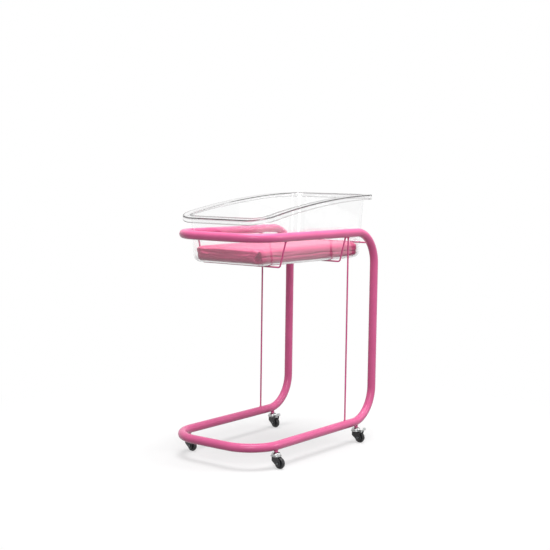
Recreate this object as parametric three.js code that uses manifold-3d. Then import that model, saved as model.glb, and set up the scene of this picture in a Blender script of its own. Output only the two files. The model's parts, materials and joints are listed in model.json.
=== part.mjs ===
// Hospital bassinet: a clear tub with its mattress, carried by two wire hangers in a
// bent steel tube frame that rolls on four swivel casters, two of them with brakes.
// Millimetres. +Z is up, +X points to the head end with the uprights, and the near
// side of the frame is -Y. The origin lies under the middle of the whole object,
// at floor level.

import * as THREE from 'three';
import { mergeVertices } from 'three/addons/utils/BufferGeometryUtils.js';
import Module from 'manifold-3d';

const wasm = await Module();
wasm.setup();

// Frame tubes
const tubeDiameter = 31.75;
const tubeWall = 1.5;
const frameLength = 736;
const frameWidth = 406;
const baseRailHeight = 80;
const topRailHeight = 813;
const bendRadius = 125;
const buttSetback = 36;
const spigotLength = 60;

// Rods and wires. The tie rods and the head hanger stand a distance before the butt
// joints of the rails, the foot hanger a distance from the foot bar.
const tieRodDiameter = 6.35;
const tieRodButtDistance = 24;
const crossRodDiameter = 6;
const crossRodDrop = 45;
const hangerWireDiameter = 6;
const footHangerSetback = 157;
const headHangerButtDistance = 42;
const hangerLean = 25;
const hangerBendRadius = 11;

// Tub. Its floor hangs below the top rail, its walls clear the rails and the cross rod,
// and its rim overhangs the walls.
const tubHang = 100.8;
const tubWall = 3.5;
const tubSideClearance = 15.125;
const tubFootClearance = 30.125;
const tubCrossRodClearance = 4.3;
const tubSideDraftDegrees = 2;
const tubEndDraftDegrees = 4;
const tubCornerRadius = 45;
const tubFloorFillet = 22;
const rimFootOverhang = 20;
const rimHeadOverhang = 28.5;
const rimSideOverhang = 34;
const rimCornerRadius = 80;
const rimClimb = 84.5;
const rimRiseShare = 0.8;
const skirtClearance = 24.625;
const rimThickness = 3.5;
const skirtDepth = 18;
const ribCount = 7;
const ribSideInset = 12.5;
const ribDepth = 3.5;
const ribHalfWidth = 13;
const ribEndInset = 14;

// Mattress
const mattressThickness = 54;
const mattressSideClearance = 5;
const mattressCornerRadius = 38;
const mattressEdgeRadius = 14;

// Casters. The foot pair stands a distance from the foot bar, the head pair a distance
// past the start of the lower bends.
const footCasterSetback = 116;
const headCasterBendDistance = 20;
const wheelDiameter = 42;
const tyreWidth = 14;
const tyreThickness = 6;
const tyreShoulder = 3;
const tyreEdgeInset = 1.2;
const tyreRoundDrop = 0.9;
const tyreFlatWidth = 4;
const casterTrail = 19.5;
const bossDiameter = 14;
const bossBottomHeight = 58;
const bossTopHeight = 85;
const stemDiameter = 8;
const stemInsertion = 22;
const stemHeadDiameter = 14;
const stemHeadThickness = 3.2;
const bellTopDiameter = 19;
const bellBottomDiameter = 34;
const bellBrim = 2.4;
const bellHeight = 11.2;
const crownDiameter = 39;
const crownThickness = 3;
const forkPlate = 3;
const forkSideGap = 1.3;
const forkFrontReach = 13.5;
const forkRearReach = 14;
const forkNoseHeight = 28;
const forkEndRadius = 12.5;
const axleDiameter = 6;
const boltHeadRadius = 5;
const boltHeadThickness = 3.5;
const nutThickness = 4.5;
const hubInset = 0.5;
const hubWebHalfThickness = 3;
const hubRimThickness = 2.2;
const hubSleeveRadius = 5.6;

// Brake pedals on the two head casters
const pedalPinDegrees = 74;
const pedalTyreGap = 1.1;
const pedalSideGap = 0.4;
const pedalPinDiameter = 3;
const pedalEarRadius = 4.2;
const pedalBarrelRadius = 3.9;
const pedalCamRadius = 4.9;
const pedalCamDegrees = 24;
const pedalCamWrapDegrees = 22.5;
const pedalLength = 16.5;
const pedalThickness = 2.2;
const pedalRiseDegrees = 12;
const pedalLipHeight = 11;

// Direction in which each wheel trails its stem, in degrees from +X towards +Y
const trailDegrees = { near_foot: -98, near_head: -95, far_foot: -101, far_head: -105 };

// Clearances
const seatGap = 0.3;
const runningGap = 0.4;
const cutOverrun = 5;

// Facets
const tubeSides = 18;
const boreSides = 10;
const bendSteps = 7;
const wireSides = 8;
const roundSides = 16;
const tyreSides = 24;
const cornerSteps = 6;
const edgeSteps = 3;
const domeSteps = 3;
const rimCurveSteps = 16;
const boltSides = 6;

// Finishes
const finishes = {
  powderCoat: { color: 0xe8649f, roughness: 0.3, metalness: 0.1 },
  bareSteel: { color: 0x9a9c9f, roughness: 0.4, metalness: 0.9 },
  zincPlate: { color: 0xc4c7c6, roughness: 0.35, metalness: 0.9 },
  clearAcrylic: { color: 0xf3f6f6, roughness: 0.05, metalness: 0, transparent: true, opacity: 0.25 },
  coatedFabric: { color: 0xe87a9c, roughness: 0.55, metalness: 0 },
  blackRubber: { color: 0x17181a, roughness: 0.75, metalness: 0 },
  blackNylon: { color: 0x1c1c1e, roughness: 0.4, metalness: 0 },
  greyNylon: { color: 0x3a3c40, roughness: 0.5, metalness: 0 },
};

const bassinet = new THREE.Group();

// Adds one named piece with its finish to a group.
function addPiece(name, geometry, finish, group = bassinet) {
  const mesh = new THREE.Mesh(geometry, new THREE.MeshStandardMaterial(finishes[finish]));
  mesh.name = name;
  group.add(mesh);
  return mesh;
}

// Solids for joining and cutting, and back again to geometry
function toSolid(geometry) {
  const bare = geometry.clone();
  bare.deleteAttribute('normal');
  bare.deleteAttribute('uv');
  const merged = mergeVertices(bare);
  const vertProperties = new Float32Array(merged.attributes.position.array);
  const triVerts = new Uint32Array(merged.index.array);
  return new wasm.Manifold(new wasm.Mesh({ numProp: 3, vertProperties, triVerts }));
}

function toGeometry(solid) {
  const mesh = solid.getMesh();
  const geometry = new THREE.BufferGeometry();
  geometry.setAttribute('position', new THREE.BufferAttribute(mesh.vertProperties, mesh.numProp));
  geometry.setIndex(new THREE.BufferAttribute(mesh.triVerts, 1));
  geometry.computeVertexNormals();
  return geometry;
}

// A centre-line of straight runs joined by arcs of one radius. Its stations lie at the
// ends of the runs and evenly along each arc, each with the exact direction there.
class BentLine extends THREE.Curve {
  constructor(corners, radius, stepsPerBend) {
    super();
    this.stations = [];
    const last = corners.length - 1;
    const runDirection = (i) => corners[i + 1].clone().sub(corners[i]).normalize();
    this.stations.push({ point: corners[0], tangent: runDirection(0) });
    for (let i = 1; i < last; i += 1) {
      const incoming = runDirection(i - 1);
      const outgoing = runDirection(i);
      const turn = incoming.angleTo(outgoing);
      const setback = radius * Math.tan(turn / 2);
      const start = corners[i].clone().addScaledVector(incoming, -setback);
      const inward = outgoing.clone().addScaledVector(incoming, -Math.cos(turn)).normalize();
      for (let step = 0; step <= stepsPerBend; step += 1) {
        const angle = (turn * step) / stepsPerBend;
        const point = start.clone()
          .addScaledVector(incoming, radius * Math.sin(angle))
          .addScaledVector(inward, radius * (1 - Math.cos(angle)));
        const tangent = incoming.clone().multiplyScalar(Math.cos(angle))
          .addScaledVector(inward, Math.sin(angle));
        this.stations.push({ point, tangent });
      }
    }
    this.stations.push({ point: corners[last], tangent: runDirection(last - 1) });
  }

  station(share) {
    return this.stations[Math.round(share * (this.stations.length - 1))];
  }

  getPointAt(share, target = new THREE.Vector3()) {
    return target.copy(this.station(share).point);
  }

  getTangentAt(share, target = new THREE.Vector3()) {
    return target.copy(this.station(share).tangent);
  }
}

function circleOutline(radius, sides) {
  const points = [];
  for (let side = 0; side < sides; side += 1) {
    const angle = (2 * Math.PI * side) / sides;
    points.push(new THREE.Vector2(radius * Math.cos(angle), radius * Math.sin(angle)));
  }
  return points;
}

// A round bar, or with a wall a round tube, along a bent centre-line.
function bentBar(corners, radius, barRadius, sides, steps, wall = 0) {
  const line = new BentLine(corners, radius, steps);
  const section = new THREE.Shape(circleOutline(barRadius, sides));
  if (wall > 0) section.holes.push(new THREE.Path(circleOutline(barRadius - wall, boreSides)));
  return new THREE.ExtrudeGeometry(section, { steps: line.stations.length - 1, extrudePath: line });
}

// A round solid standing along Z between two heights.
function standingRod(radius, bottom, top, x, y, sides = roundSides) {
  const rod = new THREE.CylinderGeometry(radius, radius, top - bottom, sides);
  rod.rotateX(Math.PI / 2);
  rod.translate(x, y, (bottom + top) / 2);
  return rod;
}

// A body of revolution about Z from [radius, height] pairs that close on themselves,
// its first facet starting at an angle.
function revolved(profile, sides = roundSides, startAngle = 0) {
  const points = profile.map(([radius, height]) => new THREE.Vector2(radius, height));
  points.push(points[0].clone());
  const turned = new THREE.LatheGeometry(points, sides, startAngle);
  turned.rotateX(Math.PI / 2);
  return turned;
}

// A rectangle with round corners, as one ring of points at a height.
function roundedRing(west, east, halfWidth, radius, height) {
  const ring = [];
  const corners = [
    [east - radius, halfWidth - radius, 0],
    [west + radius, halfWidth - radius, Math.PI / 2],
    [west + radius, radius - halfWidth, Math.PI],
    [east - radius, radius - halfWidth, 1.5 * Math.PI],
  ];
  for (const [cornerX, cornerY, startAngle] of corners) {
    for (let step = 0; step <= cornerSteps; step += 1) {
      const angle = startAngle + (Math.PI / 2) * (step / cornerSteps);
      const x = cornerX + radius * Math.cos(angle);
      const y = cornerY + radius * Math.sin(angle);
      ring.push(new THREE.Vector3(x, y, height));
    }
  }
  return ring;
}

// A closed solid through rings of equal count, lowest first, with flat ends.
function lofted(rings) {
  const count = rings[0].length;
  const positions = rings.flat().flatMap((point) => [point.x, point.y, point.z]);
  const indices = [];
  for (let level = 0; level < rings.length - 1; level += 1) {
    for (let i = 0; i < count; i += 1) {
      const next = (i + 1) % count;
      const low = level * count;
      const high = low + count;
      indices.push(low + i, low + next, high + next);
      indices.push(low + i, high + next, high + i);
    }
  }
  const top = (rings.length - 1) * count;
  for (let i = 1; i < count - 1; i += 1) {
    indices.push(0, i + 1, i);
    indices.push(top, top + i, top + i + 1);
  }
  const geometry = new THREE.BufferGeometry();
  geometry.setAttribute('position', new THREE.Float32BufferAttribute(positions, 3));
  geometry.setIndex(indices);
  return geometry;
}

// Frame: one U-shaped rail at the top, one at the base, and a C-shaped upright on
// each side, butted together over spigots inside the tube.

const tubeRadius = tubeDiameter / 2;
const boreRadius = tubeRadius - tubeWall;
const uprightPlace = frameLength / 2;
const footBarPlace = -frameLength / 2;
const buttPlace = uprightPlace - bendRadius - buttSetback;
const tieRodPlace = buttPlace - tieRodButtDistance;
const footHangerPlace = footBarPlace + footHangerSetback;
const headHangerPlace = buttPlace - headHangerButtDistance;
const footCasterPlace = footBarPlace + footCasterSetback;
const headCasterPlace = uprightPlace - bendRadius + headCasterBendDistance;
const sides = [
  { name: 'near', y: -frameWidth / 2 },
  { name: 'far', y: frameWidth / 2 },
];
const railHeights = { top: topRailHeight, base: baseRailHeight };

const casterPlaces = [];
for (const side of sides) {
  for (const [end, x] of [['foot', footCasterPlace], ['head', headCasterPlace]]) {
    casterPlaces.push({ name: `${side.name}_${end}`, braked: end === 'head', x, y: side.y });
  }
}

// The holes through a base tube's lower wall that the caster bosses pass through
function drilledForBosses(geometry) {
  let tube = toSolid(geometry);
  for (const caster of casterPlaces) {
    const holeRadius = bossDiameter / 2 + seatGap;
    const bottom = baseRailHeight - tubeRadius - cutOverrun;
    tube = tube.subtract(toSolid(standingRod(holeRadius, bottom, baseRailHeight, caster.x, caster.y)));
  }
  return toGeometry(tube);
}

function railTube(height) {
  const corners = [
    new THREE.Vector3(buttPlace, sides[0].y, height),
    new THREE.Vector3(footBarPlace, sides[0].y, height),
    new THREE.Vector3(footBarPlace, sides[1].y, height),
    new THREE.Vector3(buttPlace, sides[1].y, height),
  ];
  return bentBar(corners, bendRadius, tubeRadius, tubeSides, bendSteps, tubeWall);
}

function uprightTube(y) {
  const corners = [
    new THREE.Vector3(buttPlace + seatGap, y, topRailHeight),
    new THREE.Vector3(uprightPlace, y, topRailHeight),
    new THREE.Vector3(uprightPlace, y, baseRailHeight),
    new THREE.Vector3(buttPlace + seatGap, y, baseRailHeight),
  ];
  return bentBar(corners, bendRadius, tubeRadius, tubeSides, bendSteps, tubeWall);
}

// A short sleeve inside the tube, half in the rail and half in the upright
function spigot(y, height) {
  const inscribedShare = Math.cos(Math.PI / boreSides);
  const outerRadius = boreRadius * inscribedShare - seatGap;
  const corners = [
    new THREE.Vector3(buttPlace - spigotLength / 2, y, height),
    new THREE.Vector3(buttPlace + spigotLength / 2, y, height),
  ];
  return bentBar(corners, 0, outerRadius, tubeSides, 1, tubeWall);
}

addPiece('top_rail', railTube(topRailHeight), 'powderCoat');
addPiece('base_rail', drilledForBosses(railTube(baseRailHeight)), 'powderCoat');
for (const side of sides) {
  addPiece(`${side.name}_upright`, drilledForBosses(uprightTube(side.y)), 'powderCoat');
  for (const [level, height] of Object.entries(railHeights)) {
    addPiece(`${side.name}_${level}_spigot`, spigot(side.y, height), 'bareSteel');
  }
}

// Rods and hangers end against the rails they are welded to, coped to the round tube.

function railEnvelope(y, height) {
  const corners = [
    new THREE.Vector3(footBarPlace + bendRadius, y, height),
    new THREE.Vector3(buttPlace, y, height),
  ];
  return toSolid(bentBar(corners, 0, tubeRadius + seatGap, tubeSides, 1));
}

function copedToRails(geometry, heights) {
  let solid = toSolid(geometry);
  for (const side of sides) {
    for (const height of heights) solid = solid.subtract(railEnvelope(side.y, height));
  }
  return toGeometry(solid);
}

for (const side of sides) {
  const bottom = baseRailHeight + boreRadius;
  const top = topRailHeight - boreRadius;
  const rod = standingRod(tieRodDiameter / 2, bottom, top, tieRodPlace, side.y, wireSides);
  const heights = [baseRailHeight, topRailHeight];
  addPiece(`${side.name}_tie_rod`, copedToRails(rod, heights), 'powderCoat');
}

// The cross rod lies against the outside of both upper bends, on a facet between stations.
const bendFacetShare = Math.cos(Math.PI / 4 / bendSteps);
const crossRodReach = (bendRadius + tubeRadius) * bendFacetShare + seatGap + crossRodDiameter / 2;
const crossRodHeight = topRailHeight - crossRodDrop;
const crossRodRise = bendRadius - crossRodDrop;
const crossRodPlace = uprightPlace - bendRadius + Math.sqrt(crossRodReach ** 2 - crossRodRise ** 2);
const crossRodEnds = sides.map((side) => new THREE.Vector3(crossRodPlace, side.y, crossRodHeight));
const crossRod = bentBar(crossRodEnds, 0, crossRodDiameter / 2, wireSides, 1);
addPiece('head_cross_rod', crossRod, 'powderCoat');

// A hanger is one wire: down from the near rail, across under the tub, up to the far rail.
const tubFloorHeight = topRailHeight - tubHang;
const hangerFloorHeight = tubFloorHeight - ribDepth - seatGap - hangerWireDiameter / 2;
function hanger(x) {
  const topHeight = topRailHeight - tubeRadius + tubeWall;
  const inset = frameWidth / 2 - hangerLean;
  const corners = [
    new THREE.Vector3(x, sides[0].y, topHeight),
    new THREE.Vector3(x, -inset, hangerFloorHeight),
    new THREE.Vector3(x, inset, hangerFloorHeight),
    new THREE.Vector3(x, sides[1].y, topHeight),
  ];
  const wire = bentBar(corners, hangerBendRadius, hangerWireDiameter / 2, wireSides, cornerSteps);
  return copedToRails(wire, [topRailHeight]);
}
addPiece('foot_hanger', hanger(footHangerPlace), 'powderCoat');
addPiece('head_hanger', hanger(headHangerPlace), 'powderCoat');

// Tub: a drawn shell with drafted walls, a rounded floor edge and pressed floor ribs.
// Its top follows a quarter sine that climbs from the foot end to the head end, with a
// flange and a turned-down skirt all round.

const sideDraft = Math.tan(THREE.MathUtils.degToRad(tubSideDraftDegrees));
const endDraft = Math.tan(THREE.MathUtils.degToRad(tubEndDraftDegrees));
const rimFootHeight = topRailHeight + tubeRadius + skirtClearance + skirtDepth;
const rimHeadHeight = rimFootHeight + rimClimb;
const rimTopHeight = rimHeadHeight + cutOverrun;

const crossRodInner = crossRodPlace - crossRodDiameter / 2;
const crossRodBelowRim = rimHeadHeight - crossRodHeight - crossRodDiameter / 2;
const tubTopHalfWidth = frameWidth / 2 - tubeRadius - tubSideClearance;
const tubFootEnd = footBarPlace + tubeRadius + tubFootClearance;
const tubHeadEnd = crossRodInner - tubCrossRodClearance + crossRodBelowRim * endDraft;
const rimFootEnd = tubFootEnd - rimFootOverhang;
const rimHeadEnd = tubHeadEnd + rimHeadOverhang;
const rimHalfWidth = tubTopHalfWidth + rimSideOverhang;

// The flat part of the floor, inside its rounded edge, carries the ribs.
const tubDepth = rimHeadHeight - tubFloorHeight;
const floorHalfWidth = tubTopHalfWidth - tubDepth * sideDraft - tubFloorFillet;
const floorFootEnd = tubFootEnd + tubDepth * endDraft + tubFloorFillet;
const floorHeadEnd = tubHeadEnd - tubDepth * endDraft - tubFloorFillet;
const outerRibPlace = floorHalfWidth - ribSideInset;

// The tub's plan at a height, drawn in by an inset
function tubRing(height, inset) {
  const below = rimHeadHeight - height;
  const west = tubFootEnd + below * endDraft + inset;
  const east = tubHeadEnd - below * endDraft - inset;
  const halfWidth = tubTopHalfWidth - below * sideDraft - inset;
  return roundedRing(west, east, halfWidth, tubCornerRadius - inset, height);
}

// A drafted block with a rounded lower edge, inset from the tub's outside
function tubBlock(inset) {
  const fillet = tubFloorFillet - inset;
  const floor = tubFloorHeight + inset;
  const rings = [];
  for (let step = 0; step <= cornerSteps; step += 1) {
    const angle = (Math.PI / 2) * (step / cornerSteps);
    const draw = fillet * (1 - Math.sin(angle));
    rings.push(tubRing(floor + fillet * (1 - Math.cos(angle)), inset + draw));
  }
  rings.push(tubRing(rimTopHeight, inset));
  return toSolid(lofted(rings));
}

function rimHeight(x) {
  const share = THREE.MathUtils.clamp((x - rimFootEnd) / (rimHeadEnd - rimFootEnd), 0, 1);
  const climb = rimHeadHeight - rimFootHeight;
  return rimFootHeight + climb * Math.sin((Math.PI / 2) * share) ** rimRiseShare;
}

// A slab across the tub between two offsets from the rim curve, upper offset first
function rimSlab(upperOffset, lowerOffset) {
  const upper = [];
  const lower = [];
  for (let step = 0; step <= rimCurveSteps; step += 1) {
    const x = THREE.MathUtils.lerp(rimFootEnd - cutOverrun, rimHeadEnd + cutOverrun, step / rimCurveSteps);
    upper.push(new THREE.Vector2(x, rimHeight(x) + upperOffset));
    lower.unshift(new THREE.Vector2(x, rimHeight(x) + lowerOffset));
  }
  const halfDepth = rimHalfWidth + cutOverrun;
  const slab = new THREE.ExtrudeGeometry(new THREE.Shape([...lower, ...upper]), {
    depth: 2 * halfDepth, bevelEnabled: false,
  });
  slab.rotateX(Math.PI / 2);
  slab.translate(0, halfDepth, 0);
  return toSolid(slab);
}

function rimPrism(inset, low, high) {
  const rings = [low, high].map((height) => roundedRing(
    rimFootEnd + inset, rimHeadEnd - inset, rimHalfWidth - inset, rimCornerRadius - inset, height,
  ));
  return toSolid(lofted(rings));
}

// One floor rib: a rounded ridge along the tub, drawn in by an inset
function floorRib(y, inset) {
  const arch = [];
  for (let step = 0; step <= cornerSteps; step += 1) {
    const angle = Math.PI * (step / cornerSteps);
    const across = (ribHalfWidth - inset) * Math.cos(angle);
    arch.push(new THREE.Vector2(across, -ribDepth * Math.sin(angle)));
  }
  const west = floorFootEnd + ribEndInset + inset;
  const east = floorHeadEnd - ribEndInset - inset;
  const rib = new THREE.ExtrudeGeometry(new THREE.Shape(arch), { depth: east - west, bevelEnabled: false });
  rib.rotateX(Math.PI / 2);
  rib.rotateZ(Math.PI / 2);
  rib.translate(west, y, 0);
  return rib;
}

function tub() {
  const skirtLow = rimFootHeight - skirtDepth - cutOverrun;
  const flangeAndSkirt = rimPrism(0, skirtLow, rimTopHeight)
    .intersect(rimSlab(0, -skirtDepth));
  const underFlange = rimPrism(rimThickness, skirtLow - cutOverrun, rimTopHeight)
    .intersect(rimSlab(-rimThickness, -skirtDepth - cutOverrun));
  const belowRim = rimSlab(0, tubFloorHeight - ribDepth - rimHeadHeight - cutOverrun);
  const walls = tubBlock(0).intersect(belowRim);
  let shell = flangeAndSkirt.subtract(underFlange).add(walls).subtract(tubBlock(tubWall));
  for (let index = 0; index < ribCount; index += 1) {
    const y = THREE.MathUtils.lerp(-outerRibPlace, outerRibPlace, index / (ribCount - 1));
    const outer = floorRib(y, 0);
    outer.translate(0, 0, tubFloorHeight);
    const inner = floorRib(y, tubWall);
    inner.translate(0, 0, tubFloorHeight + tubWall);
    shell = shell.add(toSolid(outer)).subtract(toSolid(inner));
  }
  return toGeometry(shell);
}
addPiece('tub', tub(), 'clearAcrylic');

// Mattress: lies on the tub floor, a little clear of the walls.
function mattress() {
  const bottom = tubFloorHeight + tubWall + seatGap;
  const below = rimHeadHeight - bottom;
  const inset = tubWall + mattressSideClearance;
  const west = tubFootEnd + below * endDraft + inset;
  const east = tubHeadEnd - below * endDraft - inset;
  const halfWidth = tubTopHalfWidth - below * sideDraft - inset;
  const rings = [];
  for (const [centreHeight, startAngle] of [
    [bottom + mattressEdgeRadius, -Math.PI / 2],
    [bottom + mattressThickness - mattressEdgeRadius, 0],
  ]) {
    for (let step = 0; step <= edgeSteps; step += 1) {
      const angle = startAngle + (Math.PI / 2) * (step / edgeSteps);
      const draw = mattressEdgeRadius * (1 - Math.cos(angle));
      const height = centreHeight + mattressEdgeRadius * Math.sin(angle);
      const cornerRadius = mattressCornerRadius - draw;
      rings.push(roundedRing(west + draw, east - draw, halfWidth - draw, cornerRadius, height));
    }
  }
  return lofted(rings);
}
addPiece('mattress', mattress(), 'coatedFabric');

// Casters. Each is built with its stem on the local Z axis and its wheel trailing along
// local +X, then turned to the direction in which that wheel trails.

const wheelRadius = wheelDiameter / 2;
const bellBottomHeight = bossBottomHeight - runningGap - bellHeight;
const crownTopHeight = bellBottomHeight - runningGap;
const crownBottomHeight = crownTopHeight - crownThickness;
const stemHeadTop = crownBottomHeight - runningGap;
const stemTopHeight = bossBottomHeight + stemInsertion;
const forkTopHeight = crownBottomHeight - seatGap;
const legInner = tyreWidth / 2 + forkSideGap;
const legOuter = legInner + forkPlate;
const pedalHalfWidth = legInner - pedalSideGap;
const pedalPinReach = wheelRadius + pedalTyreGap + pedalBarrelRadius;
const pedalPinAngle = THREE.MathUtils.degToRad(pedalPinDegrees);
const pedalPinPlace = casterTrail + pedalPinReach * Math.cos(pedalPinAngle);
const pedalPinHeight = wheelRadius + pedalPinReach * Math.sin(pedalPinAngle);

// Extrudes an outline drawn in local X and Z between two places along local Y.
function sidePlate(shape, from, to) {
  const plate = new THREE.ExtrudeGeometry(shape, {
    depth: to - from, bevelEnabled: false, curveSegments: cornerSteps,
  });
  plate.rotateX(Math.PI / 2);
  plate.translate(0, to, 0);
  return plate;
}

function crosswiseRod(radius, from, to, x, z, rodSides = roundSides) {
  const rod = new THREE.CylinderGeometry(radius, radius, to - from, rodSides);
  rod.translate(0, (from + to) / 2, 0);
  rod.translate(x, 0, z);
  return rod;
}

// The direction from a circle's centre to the point where a line from an outside
// point touches it, on the side given by +1 or -1
function touchAngle(centre, radius, outside, side) {
  const toward = Math.atan2(outside.y - centre.y, outside.x - centre.x);
  return toward + side * Math.acos(radius / centre.distanceTo(outside));
}

// A fork leg: a nose under the crown's front edge, and straight edges from the nose
// and from the crown's rear that run to a broad round end about the axle.
function legOutline() {
  const axle = new THREE.Vector2(casterTrail, wheelRadius);
  const nose = new THREE.Vector2(-forkFrontReach, forkNoseHeight);
  const rear = new THREE.Vector2(forkRearReach, forkTopHeight);
  const noseAngle = touchAngle(axle, forkEndRadius, nose, 1);
  const rearAngle = touchAngle(axle, forkEndRadius, rear, -1);
  const shape = new THREE.Shape();
  shape.moveTo(rear.x, rear.y);
  shape.lineTo(-forkFrontReach, forkTopHeight);
  shape.lineTo(nose.x, nose.y);
  shape.absarc(axle.x, axle.y, forkEndRadius, noseAngle, rearAngle, false);
  return shape;
}

// The strip that carries the pedal pin: two round ends joined by straight edges
function earOutline() {
  const axle = new THREE.Vector2(casterTrail, wheelRadius);
  const pin = new THREE.Vector2(pedalPinPlace, pedalPinHeight);
  const toPin = Math.atan2(pin.y - axle.y, pin.x - axle.x);
  const shape = new THREE.Shape();
  shape.absarc(pin.x, pin.y, pedalEarRadius, toPin - Math.PI / 2, toPin + Math.PI / 2, false);
  shape.absarc(axle.x, axle.y, pedalEarRadius, toPin + Math.PI / 2, toPin + 1.5 * Math.PI, false);
  return shape;
}

// The crown is the lower race, a plate that turns about the stem above its head.
function crown() {
  const bore = stemDiameter / 2 + runningGap;
  return revolved([
    [bore, crownBottomHeight],
    [crownDiameter / 2, crownBottomHeight],
    [crownDiameter / 2, crownTopHeight],
    [bore, crownTopHeight],
  ]);
}

// The fork is one moulding under the crown: two legs joined by a wall at the nose.
function fork(braked) {
  const wall = new THREE.BoxGeometry(forkPlate, 2 * legOuter, forkTopHeight - forkNoseHeight);
  wall.translate(forkPlate / 2 - forkFrontReach, 0, (forkTopHeight + forkNoseHeight) / 2);
  let body = toSolid(wall);
  for (const [from, to] of [[-legOuter, -legInner], [legInner, legOuter]]) {
    body = body.add(toSolid(sidePlate(legOutline(), from, to)));
    if (braked) body = body.add(toSolid(sidePlate(earOutline(), from, to)));
  }
  const reach = legOuter + cutOverrun;
  const axleHole = axleDiameter / 2 + seatGap;
  const pinHole = pedalPinDiameter / 2 + seatGap;
  body = body.subtract(toSolid(crosswiseRod(axleHole, -reach, reach, casterTrail, wheelRadius)));
  if (braked) {
    body = body.subtract(toSolid(crosswiseRod(pinHole, -reach, reach, pedalPinPlace, pedalPinHeight)));
  }
  return toGeometry(body);
}

function casterBoss() {
  const boreTop = stemTopHeight + runningGap;
  return revolved([
    [0, boreTop],
    [stemDiameter / 2 + seatGap, boreTop],
    [stemDiameter / 2 + seatGap, bossBottomHeight],
    [bossDiameter / 2, bossBottomHeight],
    [bossDiameter / 2, bossTopHeight],
    [0, bossTopHeight],
  ]);
}

function casterStem() {
  return revolved([
    [0, stemHeadTop - stemHeadThickness],
    [stemHeadDiameter / 2, stemHeadTop - stemHeadThickness],
    [stemHeadDiameter / 2, stemHeadTop],
    [stemDiameter / 2, stemHeadTop],
    [stemDiameter / 2, stemTopHeight],
    [0, stemTopHeight],
  ]);
}

// The bell covers the upper race: a brim, then a quarter ellipse up to a flat top.
function bearingBell() {
  const bore = stemDiameter / 2 + seatGap;
  const top = bellTopDiameter / 2;
  const bottom = bellBottomDiameter / 2;
  const profile = [
    [bore, bellBottomHeight],
    [bottom, bellBottomHeight],
  ];
  for (let step = 0; step <= domeSteps; step += 1) {
    const angle = (Math.PI / 2) * (step / domeSteps);
    const radius = top + (bottom - top) * Math.cos(angle);
    const rise = (bellHeight - bellBrim) * Math.sin(angle);
    profile.push([radius, bellBottomHeight + bellBrim + rise]);
  }
  profile.push([bore, bellBottomHeight + bellHeight]);
  return revolved(profile);
}

const rimSeatRadius = wheelRadius - tyreThickness;

// The tyre's facets touch its true round from outside, and one of them lies on the floor.
function tyre() {
  const half = tyreWidth / 2;
  const edge = half - tyreEdgeInset;
  const flat = tyreFlatWidth / 2;
  const facetShare = Math.cos(Math.PI / tyreSides);
  const profile = [
    [rimSeatRadius, -edge],
    [wheelRadius - tyreShoulder, -half],
    [wheelRadius - tyreRoundDrop, -edge],
    [wheelRadius, -flat],
    [wheelRadius, flat],
    [wheelRadius - tyreRoundDrop, edge],
    [wheelRadius - tyreShoulder, half],
    [rimSeatRadius, edge],
  ];
  const outside = profile.map(([radius, height]) => [radius / facetShare, height]);
  return revolved(outside, tyreSides, Math.PI / tyreSides);
}

function hub() {
  const outer = rimSeatRadius - seatGap;
  const rimInner = outer - hubRimThickness;
  const bore = axleDiameter / 2 + seatGap;
  const half = tyreWidth / 2 - tyreEdgeInset - hubInset;
  const sleeveHalf = tyreWidth / 2 + forkSideGap - runningGap;
  return revolved([
    [bore, -sleeveHalf],
    [hubSleeveRadius, -sleeveHalf],
    [hubSleeveRadius, -hubWebHalfThickness],
    [rimInner, -hubWebHalfThickness],
    [rimInner, -half],
    [outer, -half],
    [outer, half],
    [rimInner, half],
    [rimInner, hubWebHalfThickness],
    [hubSleeveRadius, hubWebHalfThickness],
    [hubSleeveRadius, sleeveHalf],
    [bore, sleeveHalf],
  ]);
}

// The axle is a hexagon-headed bolt through both legs, with a nut on its other end.
function axleBolt() {
  const headFace = legOuter + seatGap;
  const shank = crosswiseRod(axleDiameter / 2, -headFace - nutThickness, headFace, 0, 0);
  const head = crosswiseRod(boltHeadRadius, headFace, headFace + boltHeadThickness, 0, 0, boltSides);
  return toGeometry(toSolid(shank).add(toSolid(head)));
}

function axleNut() {
  const face = -legOuter - seatGap;
  const block = crosswiseRod(boltHeadRadius, face - nutThickness, face, 0, 0, boltSides);
  const reach = legOuter + nutThickness + cutOverrun;
  const bore = crosswiseRod(axleDiameter / 2 + seatGap, -reach, reach, 0, 0);
  return toGeometry(toSolid(block).subtract(toSolid(bore)));
}

// The pedal: a barrel about its pin with a cam that swings to the tyre when the
// plate is trodden down, and a lip along the plate's end. Drawn with the pin at 0, 0.
function pedalOutline() {
  const rise = THREE.MathUtils.degToRad(pedalRiseDegrees);
  const along = new THREE.Vector2(Math.cos(rise), Math.sin(rise));
  const across = new THREE.Vector2(-along.y, along.x);
  const place = (run, height) => along.clone().multiplyScalar(run).addScaledVector(across, height);
  const top = pedalBarrelRadius;
  const under = top - pedalThickness;
  const axleDirection = Math.atan2(wheelRadius - pedalPinHeight, casterTrail - pedalPinPlace);
  const camAngle = axleDirection + THREE.MathUtils.degToRad(pedalCamDegrees);
  const camStart = camAngle - THREE.MathUtils.degToRad(pedalCamWrapDegrees) + 2 * Math.PI;
  const shape = new THREE.Shape();
  shape.absarc(0, 0, pedalBarrelRadius, rise + Math.PI / 2, camStart, false);
  const corners = [
    new THREE.Vector2(pedalCamRadius * Math.cos(camAngle), pedalCamRadius * Math.sin(camAngle)),
    place(Math.sqrt(pedalBarrelRadius ** 2 - under ** 2), under),
    place(pedalLength, under),
    place(pedalLength, top + pedalLipHeight - pedalThickness),
    place(pedalLength - pedalThickness, top),
  ];
  for (const corner of corners) shape.lineTo(corner.x, corner.y);
  return shape;
}

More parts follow.
